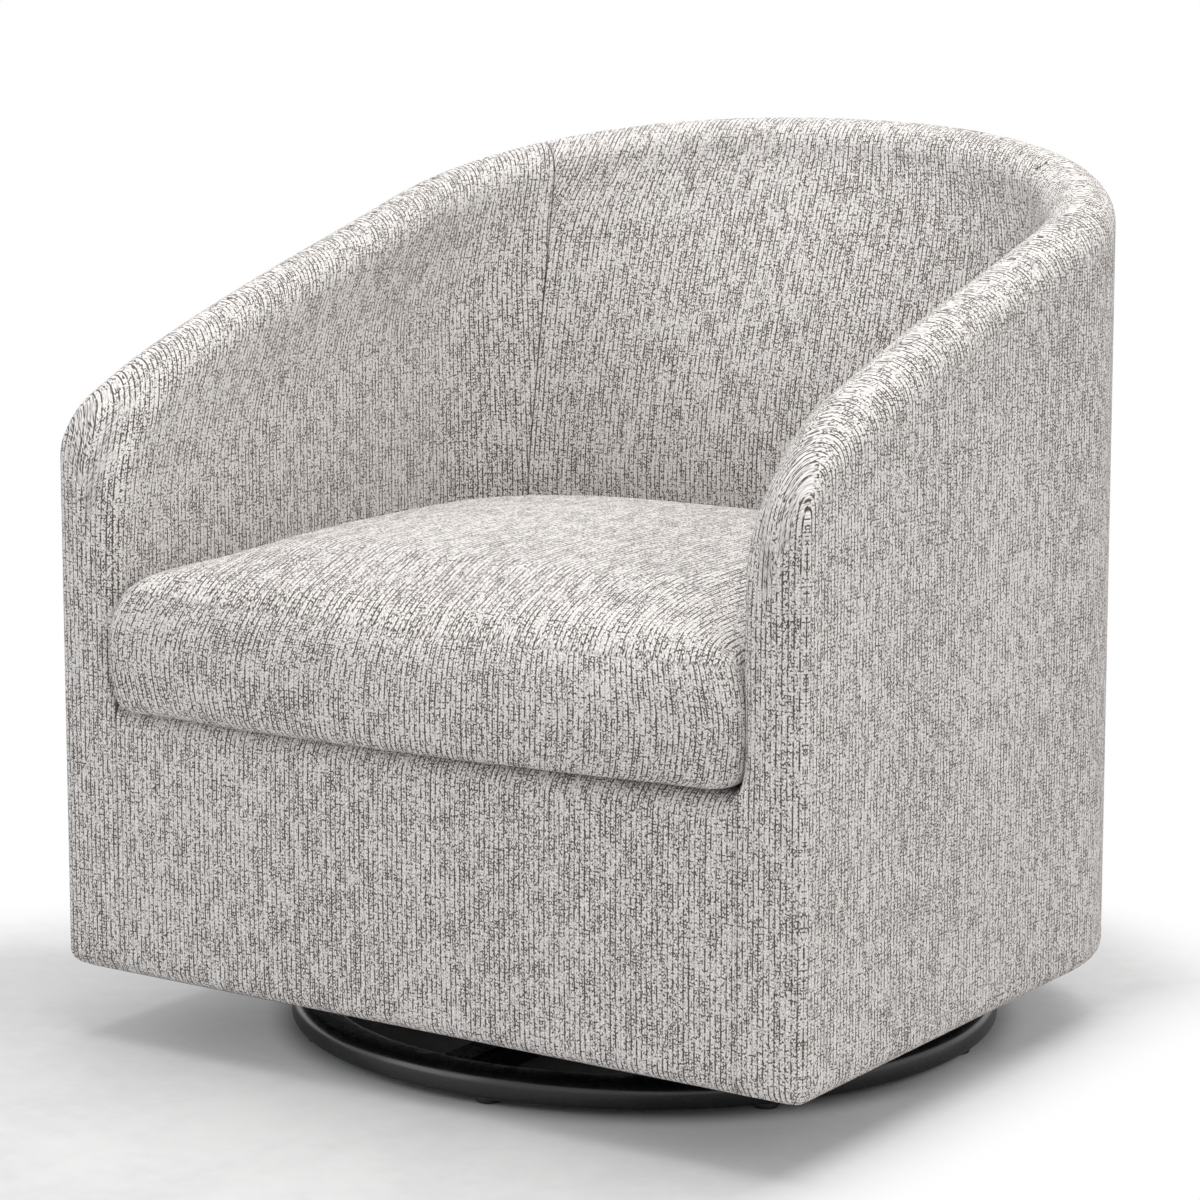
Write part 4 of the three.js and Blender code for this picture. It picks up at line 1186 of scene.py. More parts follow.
@dataclass
class RailCover:
    """The padded front rail: cloth over the boards, with a small fillet up to each arm."""

    sizes: ShellSizes = field(default_factory=ShellSizes)
    half: float = 0.3137
    top_radius: float = 0.023
    thickness: float = 0.042
    fillet: float = 0.016
    fillet_depth: float = 0.024
    fillet_points: int = 12
    turn_points: int = 9
    face_points: int = 40
    long_points: int = 61
    swell: float = 0.0016
    swell_depth: float = 0.006
    swell_power: int = 6
    lift_from: float = 0.05
    lift_full: float = 0.012
    ledge: float = 0.024
    ledge_front: float = 0.0323
    board_top: float = 0.2795
    foot_back: float = 0.034
    top_marks: tuple[float, float] = (0.027, 0.032)
    hub_depth: float = 0.006
    hub_height: float = 0.17

    def profile(self) -> np.ndarray:
        """The rail's outline in (y, z).

        It runs from the bottom board line round the hem, up the front, over the top edge, back
        along the top and down behind the board.

        Returns:
            The points, closed by repeating the first.
        """
        z = self.sizes
        front, top, ledge = z.outer.front_y, z.rail_top, z.rail_top - self.ledge
        turn = np.linspace(0, QUARTER, self.turn_points)
        hem = np.stack([front + z.hem * (1 - np.sin(turn)), z.low + z.hem * (1 - np.cos(turn))], -1)
        crown = np.stack([front + self.top_radius * (1 - np.cos(turn)),
                          top - self.top_radius * (1 - np.sin(turn))], -1)
        face = hem[-1] + (crown[0] - hem[-1]) * np.linspace(0, 1, self.face_points)[1:-1, None]
        back = np.array([*((mark, top) for mark in self.top_marks), (self.thickness, top),
                         (self.thickness, ledge), (self.ledge_front, ledge),
                         (self.ledge_front, self.board_top), (z.skin, self.board_top),
                         (z.skin, z.board_foot), (self.foot_back, z.board_foot),
                         (self.foot_back, z.low)]) + [front, 0]
        outline = np.concatenate([hem, face, crown, back])
        return np.concatenate([outline, outline[:1]])

    def build(self, finishes: Finishes) -> bpy.types.Object:
        """Builds and dresses the rail.

        The profile is carried along x. Near an arm the top edge rises by the fillet's quarter
        circle, less and less towards the back, and the front face swells by a parabola.

        Args:
            finishes: the materials.

        Returns:
            The rail.
        """
        z = self.sizes
        outline = self.profile()
        inset = self.fillet * (1 - np.cos(np.linspace(0, QUARTER, self.fillet_points)))
        middle = np.linspace(-self.half + self.fillet, self.half - self.fillet, self.long_points)[1:-1]
        x = np.concatenate([-self.half + inset, middle, (self.half - inset)[::-1]])
        points = np.empty((len(x), len(outline), 3))
        points[..., 0] = x[:, None]
        points[..., 1:] = outline
        from_arm = self.half - np.abs(x)
        rise = corner_drop(from_arm, self.fillet)
        upper = eased(z.rail_top - self.lift_from, z.rail_top - self.lift_full, points[..., 2])
        depth = points[..., 1] - z.outer.front_y
        fade = np.clip(1 - depth / self.fillet_depth, 0, 1)
        points[..., 2] += rise[:, None] * upper * np.sqrt(fade)
        facing = np.clip(1 - depth / self.swell_depth, 0, 1)
        level = np.clip((points[..., 2] - z.low) / (z.rail_top - z.low), 0, 1)
        bulge = 4 * level * (1 - level)
        edge = 1 - (np.abs(x) / self.half)[:, None] ** self.swell_power
        points[..., 1] -= self.swell * facing * bulge * edge
        length = run(points, 1)
        start = int(np.argmax(outline[:, 0] <= z.outer.front_y + 1e-9))
        height = z.low + z.hem + length - length[:, [start]]
        weave = np.stack([z.width / 2 - points[..., 0], height + WEAVE_LIFT], -1)
        caps = map(self.cap, points[[0, -1]], weave[[0, -1]])
        patches = [Patch(points, weave, FRONT_PANEL, FLECK_TURN), *caps]
        piece = finishes.put(build_mesh("front_rail_cover", patches), Finish.UPHOLSTERY, "front_rail")
        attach(piece, "seat")
        return piece

    def cap(self, ring: np.ndarray, weave: np.ndarray) -> Patch:
        """Closes an end by drawing its outline on to one point of it, inside the front cloth."""
        hub = np.array([ring[0, 0], ring[:, 1].min() + self.hub_depth, self.hub_height])
        return Patch(np.stack([ring, np.broadcast_to(hub, ring.shape)]), np.stack([weave, weave]))


# Cushion, deck and dust cover


@dataclass(frozen=True)
class SeatOutline:
    """Plan outline of the seat space: a straight front with round corners and a full, round back."""

    clear: float
    front_y: float
    corner: float
    curve: PlanCurve = ShellSizes.inner
    corner_points: int = 40
    back_points: int = 400
    back_corner: float = 0.215

    def right_half(self) -> np.ndarray:
        """Fine points from the front middle round the right side to the back middle.

        The corner is a quarter circle, the side is straight, and the back is a superellipse.

        Returns:
            The points (x, y).
        """
        half, corner = self.curve.half - self.clear, self.corner
        turn = np.linspace(-QUARTER, 0, self.corner_points)
        arc = np.stack([half - corner + corner * np.cos(turn),
                        self.front_y + corner + corner * np.sin(turn)], -1)
        angle = QUARTER * (1 - (1 - np.linspace(0, 1, self.back_points) ** 2) ** 2)
        back = np.stack([half * np.maximum(np.cos(angle), 0) ** self.curve.power,
                         self.curve.straight_y
                         + (self.curve.rise - self.clear) * np.sin(angle) ** self.curve.power], -1)
        return np.concatenate([[[0.0, self.front_y]], arc, back])

    def sides(self, wide: int, deep: int) -> list[np.ndarray]:
        """The outline as four sides with evenly spaced points.

        The front ends in the middle of its corner, and the back begins where x falls below the
        back corner's.

        Args:
            wide: steps along the front and the back.
            deep: steps along each side.

        Returns:
            Front left to right, right front to back, back left to right, left front to back.
        """
        half = self.right_half()
        length = run(half, 0)
        front_end = 0.5 * (length[1] + length[self.corner_points])
        turned = (half[:, 1] > 0) & (half[:, 0] < self.back_corner)
        back_start = length[int(np.argmax(turned))]

        def even(start: float, end: float, steps: int) -> np.ndarray:
            """Evenly spaced points between two lengths."""
            at = np.linspace(start, end, steps + 1)
            return np.stack([np.interp(at, length, half[:, 0]), np.interp(at, length, half[:, 1])], -1)

        front = even(0, front_end, wide // 2)
        right = even(front_end, back_start, deep)
        back = even(back_start, length[-1], wide // 2)[::-1]
        flip = MIRROR[:2]
        return [np.concatenate([front[::-1][:-1] * flip, front]), right,
                np.concatenate([back[::-1][:-1] * flip, back]), right * flip]

    def filled(self, wide: int, deep: int) -> np.ndarray:
        """A grid over the whole outline.

        Each inner point is the blend of the front and back sides, plus the blend of the left and
        right sides, less the blend of the four corners.

        Args:
            wide: steps across.
            deep: steps from front to back.

        Returns:
            Points (deep + 1, wide + 1, 2).
        """
        front, right, back, left = self.sides(wide, deep)
        u = np.linspace(0, 1, wide + 1)[None, :, None]
        v = np.linspace(0, 1, deep + 1)[:, None, None]
        lengthways = front[None] * (1 - v) + back[None] * v
        sideways = left[:, None] * (1 - u) + right[:, None] * u
        corners = (front[0] * (1 - u) + front[-1] * u) * (1 - v) + (back[0] * (1 - u) + back[-1] * u) * v
        return lengthways + sideways - corners

    def loop(self, wide: int, deep: int) -> np.ndarray:
        """The outline as one closed loop whose points are those of the filled grid's edge."""
        front, right, back, left = self.sides(wide, deep)
        return np.concatenate([front[:-1], right[:-1], back[::-1][:-1], left[::-1]])


@dataclass
class SeatCushion:
    """The loose boxed cushion: crowned top, round shoulders and soft lower edge."""

    low: float = 0.3033
    border: float = 0.1135
    crown: float = 0.023
    crown_power: float = 2.8
    shoulder_rise: float = 0.018
    shoulder_wide: float = 0.034
    shoulder_power: float = 0.75
    shoulder_shares: tuple[float, ...] = (0.0, 0.06, 0.16, 0.30, 0.48, 0.72, 1.0)
    crown_steps: int = 3
    foot: float = 0.019
    foot_points: int = 7
    tuck: float = 0.004
    bulge: float = 0.003
    bulge_power: float = 0.8
    border_shares: tuple[float, ...] = (0, 0.11, 0.22, 0.33, 0.44, 0.55, 0.66, 0.76, 0.85, 0.92, 0.97, 1)
    start_inset: float = 0.006
    wide: int = 76
    deep: int = 66
    pressure: float = 1.7
    frames: int = 20
    most: float = 0.022
    evening: int = 40
    held_high: float = 0.0005
    side_limit: float = 0.3122
    front_limit: float = -0.3612
    back_limit: float = 0.2035
    top_limit: float = 0.4535
    flare: float = 0.0205
    flare_from: float = -0.24
    flare_long: float = 0.12
    droop: float = 0.003
    droop_left: float = 0.013
    droop_from: float = -0.325
    droop_high: float = 0.07
    lean_from: float = 0.55
    lean_long: float = 0.45
    middle_y: float = -0.07
    border_map: float = 3.0
    top_map: float = 5.0
    under_map: float = 8.0
    outline: SeatOutline = SeatOutline(0.002, -0.359, 0.024)

    def levels(self) -> np.ndarray:
        """Inset and height up the border.

        The foot is a quarter circle. Above it the border swells as a power of a half sine,
        and its upper part leans in by the square of the place.

        Returns:
            An array of (inset, height).
        """
        turn = np.linspace(0, QUARTER, self.foot_points)[:-1]
        foot = np.stack([self.foot * (1 - np.sin(turn)), self.low + self.foot * (1 - np.cos(turn))], -1)
        share = np.array(self.border_shares)
        height = self.low + self.foot + (self.border - self.foot) * share
        lean = np.clip((share - self.lean_from) / self.lean_long, 0, 1)
        swollen = np.sin(math.pi * np.clip(share, 0, 1)) ** self.bulge_power
        inset = self.tuck * lean**2 + self.bulge * (1 - swollen)
        foot[:, 0] += self.bulge
        return np.concatenate([foot, np.stack([inset, height], -1)])

    def shoulders(self) -> np.ndarray:
        """Inset and height of the top panel's outer part, a quarter of a superellipse.

        Returns:
            An array of (inset, height).
        """
        share = np.array(self.shoulder_shares)
        last = self.levels()[-1]
        rise = self.shoulder_rise * (1 - (1 - share) ** 2) ** self.shoulder_power
        return np.stack([last[0] + self.shoulder_wide * share, last[1] + rise], -1)

    def grids(self) -> list[Patch]:
        """The closed cushion before it is inflated.

        The top rises by the crown times the product of one minus a power of the place across and
        one minus that power of the place from front to back, begun over the shoulder's first
        steps. The parts of the weave map lie apart from each other.

        Returns:
            Border, shoulder, top and bottom.
        """
        loop = self.outline.loop(self.wide, self.deep)
        filled = self.outline.filled(self.wide, self.deep)
        middle = np.array([0.0, self.middle_y])
        reach = np.abs(loop).max(0)[0]

        def drawn(points: np.ndarray, levels: np.ndarray) -> np.ndarray:
            """Copies of plan points, drawn towards the middle by each level's inset, at its height.

            Args:
                points: the plan points.
                levels: an array of (inset, height).

            Returns:
                Points with one row more for each level.
            """
            inset = (levels[:, 0] + self.start_inset).reshape(-1, *([1] * points.ndim))
            plan = middle + (points[None] - middle) * (1 - inset / reach)
            height = np.broadcast_to(levels[:, 1].reshape(inset.shape), (*plan.shape[:-1], 1))
            return np.concatenate([plan, height], -1)

        border = drawn(loop, self.levels())
        around = run(loop, 0)
        place = np.broadcast_to(around - around[self.wide // 2], border.shape[:2])
        shoulder = drawn(loop, self.shoulders())
        top = drawn(filled, self.shoulders()[-1:])[0]
        bottom = drawn(filled, self.levels()[:1])[0]
        front, rear = loop[:, 1].min(), loop[:, 1].max()
        centre = (rear + front) / 2
        half = np.array([reach, (rear - front) / 2]) - self.start_inset - self.tuck
        begun = np.minimum(np.arange(len(shoulder)) / self.crown_steps, 1)[:, None]
        for grid, part in ((shoulder, begun), (top, 1.0)):
            share = np.minimum(np.abs(grid[..., :2] - [0, centre]) / half, 1)
            grid[..., 2] += part * self.crown * np.prod(1 - share**self.crown_power, axis=-1)
        return [Patch(border, np.stack([place, border[..., 2] + self.border_map], -1)),
                *(Patch(grid, grid[..., :2] + [0.0, self.top_map]) for grid in (shoulder, top)),
                Patch(bottom, bottom[..., :2] + self.under_map)]

    def inflate(self, piece: bpy.types.Object) -> None:
        """Blows the cover up with the cloth solver and keeps the result, capped in its movement.

        Args:
            piece: the cushion.
        """
        mesh = piece.data
        rest = read_points(mesh)
        held = np.flatnonzero(rest[:, 2] < self.low + self.held_high)
        group = piece.vertex_groups.new(name="held")
        group.add(held.tolist(), 1.0, "REPLACE")
        cloth = piece.modifiers.new("inflate", "CLOTH")
        settings = cloth.settings
        settings.quality = 5
        settings.mass = 0.25
        settings.tension_stiffness = settings.compression_stiffness = 22.0
        settings.shear_stiffness = 8.0
        settings.bending_stiffness = 1.2
        settings.use_pressure = True
        settings.uniform_pressure_force = self.pressure
        settings.vertex_group_mass = "held"
        settings.effector_weights.gravity = 0.0
        cloth.point_cache.frame_start, cloth.point_cache.frame_end = 1, self.frames
        scene = bpy.context.scene
        for number in range(1, self.frames + 1):
            scene.frame_set(number)
        solved = piece.evaluated_get(bpy.context.evaluated_depsgraph_get())
        moved = read_points(solved.to_mesh()) - rest
        solved.to_mesh_clear()
        piece.modifiers.remove(cloth)
        scene.frame_set(1)
        moved = self.evened(mesh, moved)
        length = np.linalg.norm(moved, axis=-1, keepdims=True)
        log.info("cushion: cloth moved up to %.1f mm", 1000 * float(length.max()))
        moved *= np.minimum(1, self.most / np.maximum(length, 1e-9))
        mesh.vertices.foreach_set("co", (rest + moved).astype(np.float32).ravel())

    def evened(self, mesh: bpy.types.Mesh, moved: np.ndarray) -> np.ndarray:
        """Smooths the movement: each point takes the mean of its own and its neighbours', again and again.

        Args:
            mesh: the cushion's mesh.
            moved: the movement of each point.

        Returns:
            The smoothed movement.
        """
        ends = np.empty(len(mesh.edges) * 2, np.int64)
        mesh.edges.foreach_get("vertices", ends)
        first, second = ends.reshape(-1, 2).T
        count = np.bincount(ends, minlength=len(moved)).astype(float)[:, None] + 1
        for _ in range(self.evening):
            total = moved.copy()
            for axis in range(3):
                total[:, axis] += np.bincount(first, moved[second, axis], len(moved))
                total[:, axis] += np.bincount(second, moved[first, axis], len(moved))
            moved = total / count
        return moved

    def fit(self, mesh: bpy.types.Mesh) -> None:
        """Scales the cushion about its middle so that it just fills its space.

        Args:
            mesh: the inflated mesh.
        """
        points = read_points(mesh)
        low, high = points.min(0), points.max(0)
        goal_low = np.array([-self.side_limit, self.front_limit, self.low])
        goal_high = np.array([self.side_limit, self.back_limit, self.top_limit])
        points = goal_low + (points - low) * (goal_high - goal_low) / (high - low)
        points = self.settled(points)
        mesh.vertices.foreach_set("co", points.astype(np.float32).ravel())
        mesh.update()

    def settled(self, points: np.ndarray) -> np.ndarray:
        """Lets the front spread between the arms' round noses and sag over the rail's edge.

        The spread is a quarter ellipse of the place towards the front. The sag is full at the
        bottom of the front, a little more on the left, and fades up the border and to the back.

        Args:
            points: the cushion's points.

        Returns:
            The moved points.
        """
        place = np.clip((self.flare_from - points[:, 1]) / self.flare_long, 0, 1)
        spread = self.flare * (1 - np.sqrt(1 - place**2))
        left = np.clip(0.5 - points[:, 0] / (2 * self.side_limit), 0, 1)
        moved = points.copy()
        moved[:, 0] *= 1 + spread / self.side_limit
        sag = self.droop + self.droop_left * left
        lower = 1 - eased(self.low, self.low + self.droop_high, points[:, 2])
        moved[:, 2] -= sag * lower * (1 - eased(self.front_limit, self.droop_from, points[:, 1]))
        return moved

    def build(self, finishes: Finishes) -> bpy.types.Object:
        """Builds, inflates and dresses the cushion.

        The "seam_q" attribute is the height above the seam between border and top.

        Args:
            finishes: the materials.

        Returns:
            The cushion.
        """
        piece = build_mesh("seat_cushion_cover", self.grids())
        above = read_points(piece.data)[:, 2] - self.levels()[-1, 1]
        seam = piece.data.attributes.new("seam_q", "FLOAT", "POINT")
        seam.data.foreach_set("value", above.astype(np.float32))
        self.inflate(piece)
        self.fit(piece.data)
        smooth = piece.modifiers.new("smooth", "SUBSURF")
        smooth.levels = smooth.render_levels = 1
        finishes.put(piece, Finish.CUSHION, "seat_cushion")
        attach(piece, "seat")
        return piece


@dataclass
class SeatDeck:
    """The foam deck in its lining, which lies on the seat springs."""

    low: float = 0.2853
    high: float = 0.3027
    edge: float = 0.005
    middle_y: float = -0.05
    furrow: float = 0.0012
    furrow_pitch: float = 0.062
    furrow_power: int = 6
    border_points: int = 7
    wide: int = 60
    deep: int = 52
    outline: SeatOutline = SeatOutline(0.003, -0.3077, 0.012)

    def build(self, finishes: Finishes) -> bpy.types.Object:
        """Builds and dresses the deck.

        Two filled outlines are joined by a border that swells as a half sine. The underside has
        shallow furrows, a power of a cosine of the place across, where the springs press.

        Args:
            finishes: the materials.

        Returns:
            The deck.
        """
        filled = self.outline.filled(self.wide, self.deep)
        loop = self.outline.loop(self.wide, self.deep)
        reach = np.abs(loop).max()
        share = np.linspace(0, 1, self.border_points)
        inset = self.edge * (1 - np.sin(math.pi * share))
        scale = 1 - inset[:, None, None] / reach
        middle = np.array([0.0, self.middle_y])
        border = np.empty((len(share), len(loop), 3))
        border[..., :2] = middle + (loop[None] - middle) * scale
        border[..., 2] = (self.low + (self.high - self.low) * share)[:, None]
        plan = middle + (filled - middle) * scale[0]
        rim = np.ones(filled.shape[:2])
        rim[[0, -1], :] = 0
        rim[:, [0, -1]] = 0
        furrow = np.cos(math.pi * plan[..., 0] / self.furrow_pitch) ** self.furrow_power
        top = np.concatenate([plan, np.full((*rim.shape, 1), self.high)], -1)
        under = np.concatenate([plan, (self.low + rim * self.furrow * furrow)[..., None]], -1)
        patches = [Patch(grid, grid[..., :2]) for grid in (top, border, under)]
        piece = finishes.put(build_mesh("seat_deck_pad", patches), Finish.LINING, "seat_deck")
        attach(piece, "seat")
        return piece


@dataclass
class DustCover:
    """The black lining tacked under the frame, with an opening for the rocker."""

    height: float = 0.0632
    thick: float = 0.0008
    inset: float = 0.015
    opening: float = 0.150
    opening_corner: float = 0.026
    sag: float = 0.0022
    around: int = 360
    rows: int = 24
    puckers: int = 46
    pucker_share: float = 0.25
    edge_points: int = 300
    corner_points: int = 20
    outer: PlanCurve = ShellSizes.outer

    def edge(self) -> np.ndarray:
        """The outer edge: the shell's outer curve, drawn in by the inset, and a straight front.

        Returns:
            Fine points (x, y) from the middle of the front round to it again.
        """
        half = self.outer.half - self.inset
        front = self.outer.front_y + self.inset
        angle = np.linspace(0, QUARTER, self.edge_points)
        x = half * np.maximum(np.cos(angle), 0) ** self.outer.power
        y = self.outer.straight_y + (self.outer.rise - self.inset) * np.sin(angle) ** self.outer.power
        right = np.concatenate([[[0, front], [half, front]], np.stack([x, y], -1)])
        return np.concatenate([right, right[::-1][1:] * MIRROR[:2]])

    def hole(self) -> np.ndarray:
        """The opening's edge: a square with quarter circles at its corners.

        Returns:
            Fine points (x, y) from the middle of the front round to it again.
        """
        corner = self.opening_corner
        turn = np.linspace(-QUARTER, 0, self.corner_points)
        flat = self.opening - corner
        arc = np.stack([flat + corner * np.cos(turn), -flat + corner * np.sin(turn)], -1)
        quarter = np.concatenate([[[0, -self.opening]], arc, [[self.opening, 0]]])
        half = np.concatenate([quarter, quarter[::-1][1:] * -MIRROR[:2]])
        return np.concatenate([half, half[::-1][1:] * MIRROR[:2]])

    def build(self, finishes: Finishes) -> bpy.types.Object:
        """Builds and dresses the dust cover.

        Rows run from the opening to the edge. The sheet sags by a sine between them, a little
        less and more in small waves round it.

        Args:
            finishes: the materials.

        Returns:
            The dust cover.
        """
        outer, hole = self.edge(), self.hole()
        at = np.linspace(0, 1, self.around + 1)

        def spread(fine: np.ndarray) -> np.ndarray:
            """Points of an edge at even angles about the swivel axis."""
            angle = np.unwrap(np.arctan2(fine[:, 0], -fine[:, 1]))
            turn = at * (angle[-1] - angle[0]) + angle[0]
            return np.stack([np.interp(turn, angle, axis) for axis in fine.T], -1)

        rings = (spread(hole), spread(outer))
        share = np.linspace(0, 1, self.rows + 1)[:, None]
        plan = rings[0] * (1 - share[..., None]) + rings[1] * share[..., None]
        wave = np.sin(at * math.tau * self.puckers)[None] * 0.5 + 0.5
        sag = self.sag * np.sin(math.pi * share) * (1 - self.pucker_share * (1 - wave))
        upper = np.concatenate([plan, (self.height - sag)[..., None]], -1)
        lower = upper - [0, 0, self.thick]
        lips = [Patch(np.stack([upper[row], lower[row]]), np.stack([plan[row]] * 2)) for row in (0, -1)]
        piece = build_mesh("dust_cover_sheet", [Patch(upper, plan), Patch(lower, plan), *lips])
        finishes.put(piece, Finish.LINING, "dust_cover")
        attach(piece, "seat")
        return piece


# Ring base


@dataclass
class RingBase:
    """The round tubular-edged base ring and its eight turned glides, at a finer roundness."""

    radius: float = 0.316
    width: float = 0.032
    low: float = 0.006
    height: float = 0.022
    edge: float = 0.009
    inner_edge: float = 0.004
    low_edge: float = 0.003
    segments: int = 256
    glide_radius: float = 0.011
    glide_high: float = 0.0057
    glide_low_edge: float = 0.0022
    glide_top_edge: float = 0.0008
    glide_hub: float = 0.0004
    glide_hub_edge: float = 0.0002
    glide_segments: int = 40
    glide_steps: int = 5
    glide_count: int = 8
    glide_turn: float = math.radians(8)

    def turned(self, name: str, profile: np.ndarray, segments: int,
               place: tuple[float, float] = (0.0, 0.0)) -> bpy.types.Object:
        """A surface of revolution: each profile point (r, z) goes round an upright axis.

        Args:
            name: the piece's name.
            profile: the closed profile.
            segments: steps round.
            place: where the axis stands.

        Returns:
            The piece.
        """
        angle = np.linspace(0, math.tau, segments + 1)[:, None]
        x = place[0] + profile[None, :, 0] * np.cos(angle)
        y = place[1] + profile[None, :, 0] * np.sin(angle)
        points = np.stack([x, y, np.broadcast_to(profile[None, :, 1], x.shape)], -1)
        return build_mesh(name, [Patch(points, points[..., :2])])

    @staticmethod
    def rounded(corners: Sequence[tuple[float, float, float]], steps: int = 7) -> np.ndarray:
        """A closed profile with each square corner replaced by an arc.

        An arc's middle lies at the corner plus the radius along both sides. Its points are the
        middle less the radius times the one side's direction times the cosine, and the other's
        times the sine.

        Args:
            corners: (r, z, radius) in order.
            steps: points in each arc.

        Returns:
            The profile, closed by repeating the first point.
        """
        given = np.array(corners)
        here = given[:, :2]
        before, after = np.roll(here, 1, axis=0), np.roll(here, -1, axis=0)
        back = (before - here) / np.linalg.norm(before - here, axis=1, keepdims=True)
        ahead = (after - here) / np.linalg.norm(after - here, axis=1, keepdims=True)
        reach = given[:, 2:]
        centre = here + (back + ahead) * reach
        turn = np.linspace(0, QUARTER, steps)[None, :, None]
        outwards = ahead[:, None] * np.cos(turn) + back[:, None] * np.sin(turn)
        arcs = centre[:, None] - reach[:, None] * outwards
        outline = arcs.reshape(-1, 2)
        return np.concatenate([outline, outline[:1]])

    def build(self, finishes: Finishes) -> list[bpy.types.Object]:
        """Builds and dresses the ring and the glides.

        Args:
            finishes: the materials.

        Returns:
            The pieces.
        """
        inner, top = self.radius - self.width, self.low + self.height
        profile = self.rounded([(inner, self.low, self.low_edge), (self.radius, self.low, self.low_edge),
                                (self.radius, top, self.edge), (inner, top, self.inner_edge)])
        ring = self.turned("base_ring_enamel", profile, self.segments)
        made = [finishes.put(ring, Finish.ENAMEL, "base_ring")]
        hub, high = self.glide_hub, self.glide_high
        foot = self.rounded([(hub, 0.0, self.glide_hub_edge), (self.glide_radius, 0.0, self.glide_low_edge),
                             (self.glide_radius, high, self.glide_top_edge),
                             (hub, high, self.glide_hub_edge)], self.glide_steps)
        reach = self.radius - self.width / 2
        for number in range(self.glide_count):
            turn = self.glide_turn + number * math.tau / self.glide_count
            place = (reach * math.cos(turn), reach * math.sin(turn))
            glide = self.turned(f"glide_foot_{number + 1}", foot, self.glide_segments, place)
            made.append(finishes.put(glide, Finish.PLASTIC, f"glide_{number + 1}"))
        for piece in made:
            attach(piece, "base")
        return made


@dataclass
class CoilSprings:
    """The rocker's four coil springs, each held by the swivel below and by the seat frame above."""

    across: float = 0.052
    along: float = 0.078
    low: float = 0.0536
    high: float = 0.0930
    radius: float = 0.015
    wire: float = 0.0025
    turns: int = 5
    steps: int = 30
    sides: int = 12

    def coil(self, x: float, y: float) -> np.ndarray:
        """A round wire carried along a helix, drawn to a point at both ends.

        The wire's middle turns about an upright line while it rises evenly. Its section lies in
        the plane of the outward direction and of that direction's cross product with the course.

        Args:
            x: where the upright line stands.
            y: the same, from front to back.

        Returns:
            The points, one row for each section.
        """
        share = np.linspace(0, 1, self.turns * self.steps + 1)
        angle = math.tau * self.turns * share
        level = 0 * angle
        high = self.high - self.low
        rise = high / (math.tau * self.turns)
        out = np.stack([np.cos(angle), np.sin(angle), level], -1)
        course = np.stack([-self.radius * np.sin(angle), self.radius * np.cos(angle), level + rise], -1)
        upward = np.cross(out, course / np.linalg.norm(course, axis=1, keepdims=True))
        middle = np.array([x, y, self.low]) + self.radius * out
        middle[:, 2] += share * high
        turn = np.linspace(0, math.tau, self.sides + 1)[None, :, None]
        tube = middle[:, None] + self.wire * (out[:, None] * np.cos(turn) + upward[:, None] * np.sin(turn))
        first, last = (np.broadcast_to(middle[end], (1, *tube.shape[1:])) for end in (0, -1))
        return np.concatenate([first, tube, last])

    def build(self, finishes: Finishes) -> list[bpy.types.Object]:
        """Builds and dresses the springs.

        Args:
            finishes: the materials.

        Returns:
            The springs.
        """
        made = []
        corners = [(side * self.across, end * self.along) for end in (-1, 1) for side in (-1, 1)]
        for number, (x, y) in enumerate(corners, 1):
            points = self.coil(x, y)
            spring = build_mesh(f"coil_spring_wire_{number}", [Patch(points, points[..., :2])])
            finishes.put(spring, Finish.WIRE, f"coil_spring_{number}")
            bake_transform(spring)
            made.append(spring)
        return made


# Studio


@dataclass(frozen=True)
class Lamp:
    """A square soft lamp: its place, what it points at, its side, its watts and its tint."""

    name: str
    place: tuple[float, float, float]
    aim: tuple[float, float, float]
    size: float
    power: float
    tint: tuple[float, float, float]

    def hang(self) -> None:
        """Adds the lamp to the scene."""
        data = bpy.data.lights.new(self.name, "AREA")
        data.size, data.energy, data.color = self.size, self.power, self.tint
        lamp = bpy.data.objects.new(self.name, data)
        bpy.context.scene.collection.objects.link(lamp)
        lamp.location = self.place
        lamp.rotation_euler = (Vector(self.aim) - Vector(self.place)).to_track_quat("-Z", "Y").to_euler()


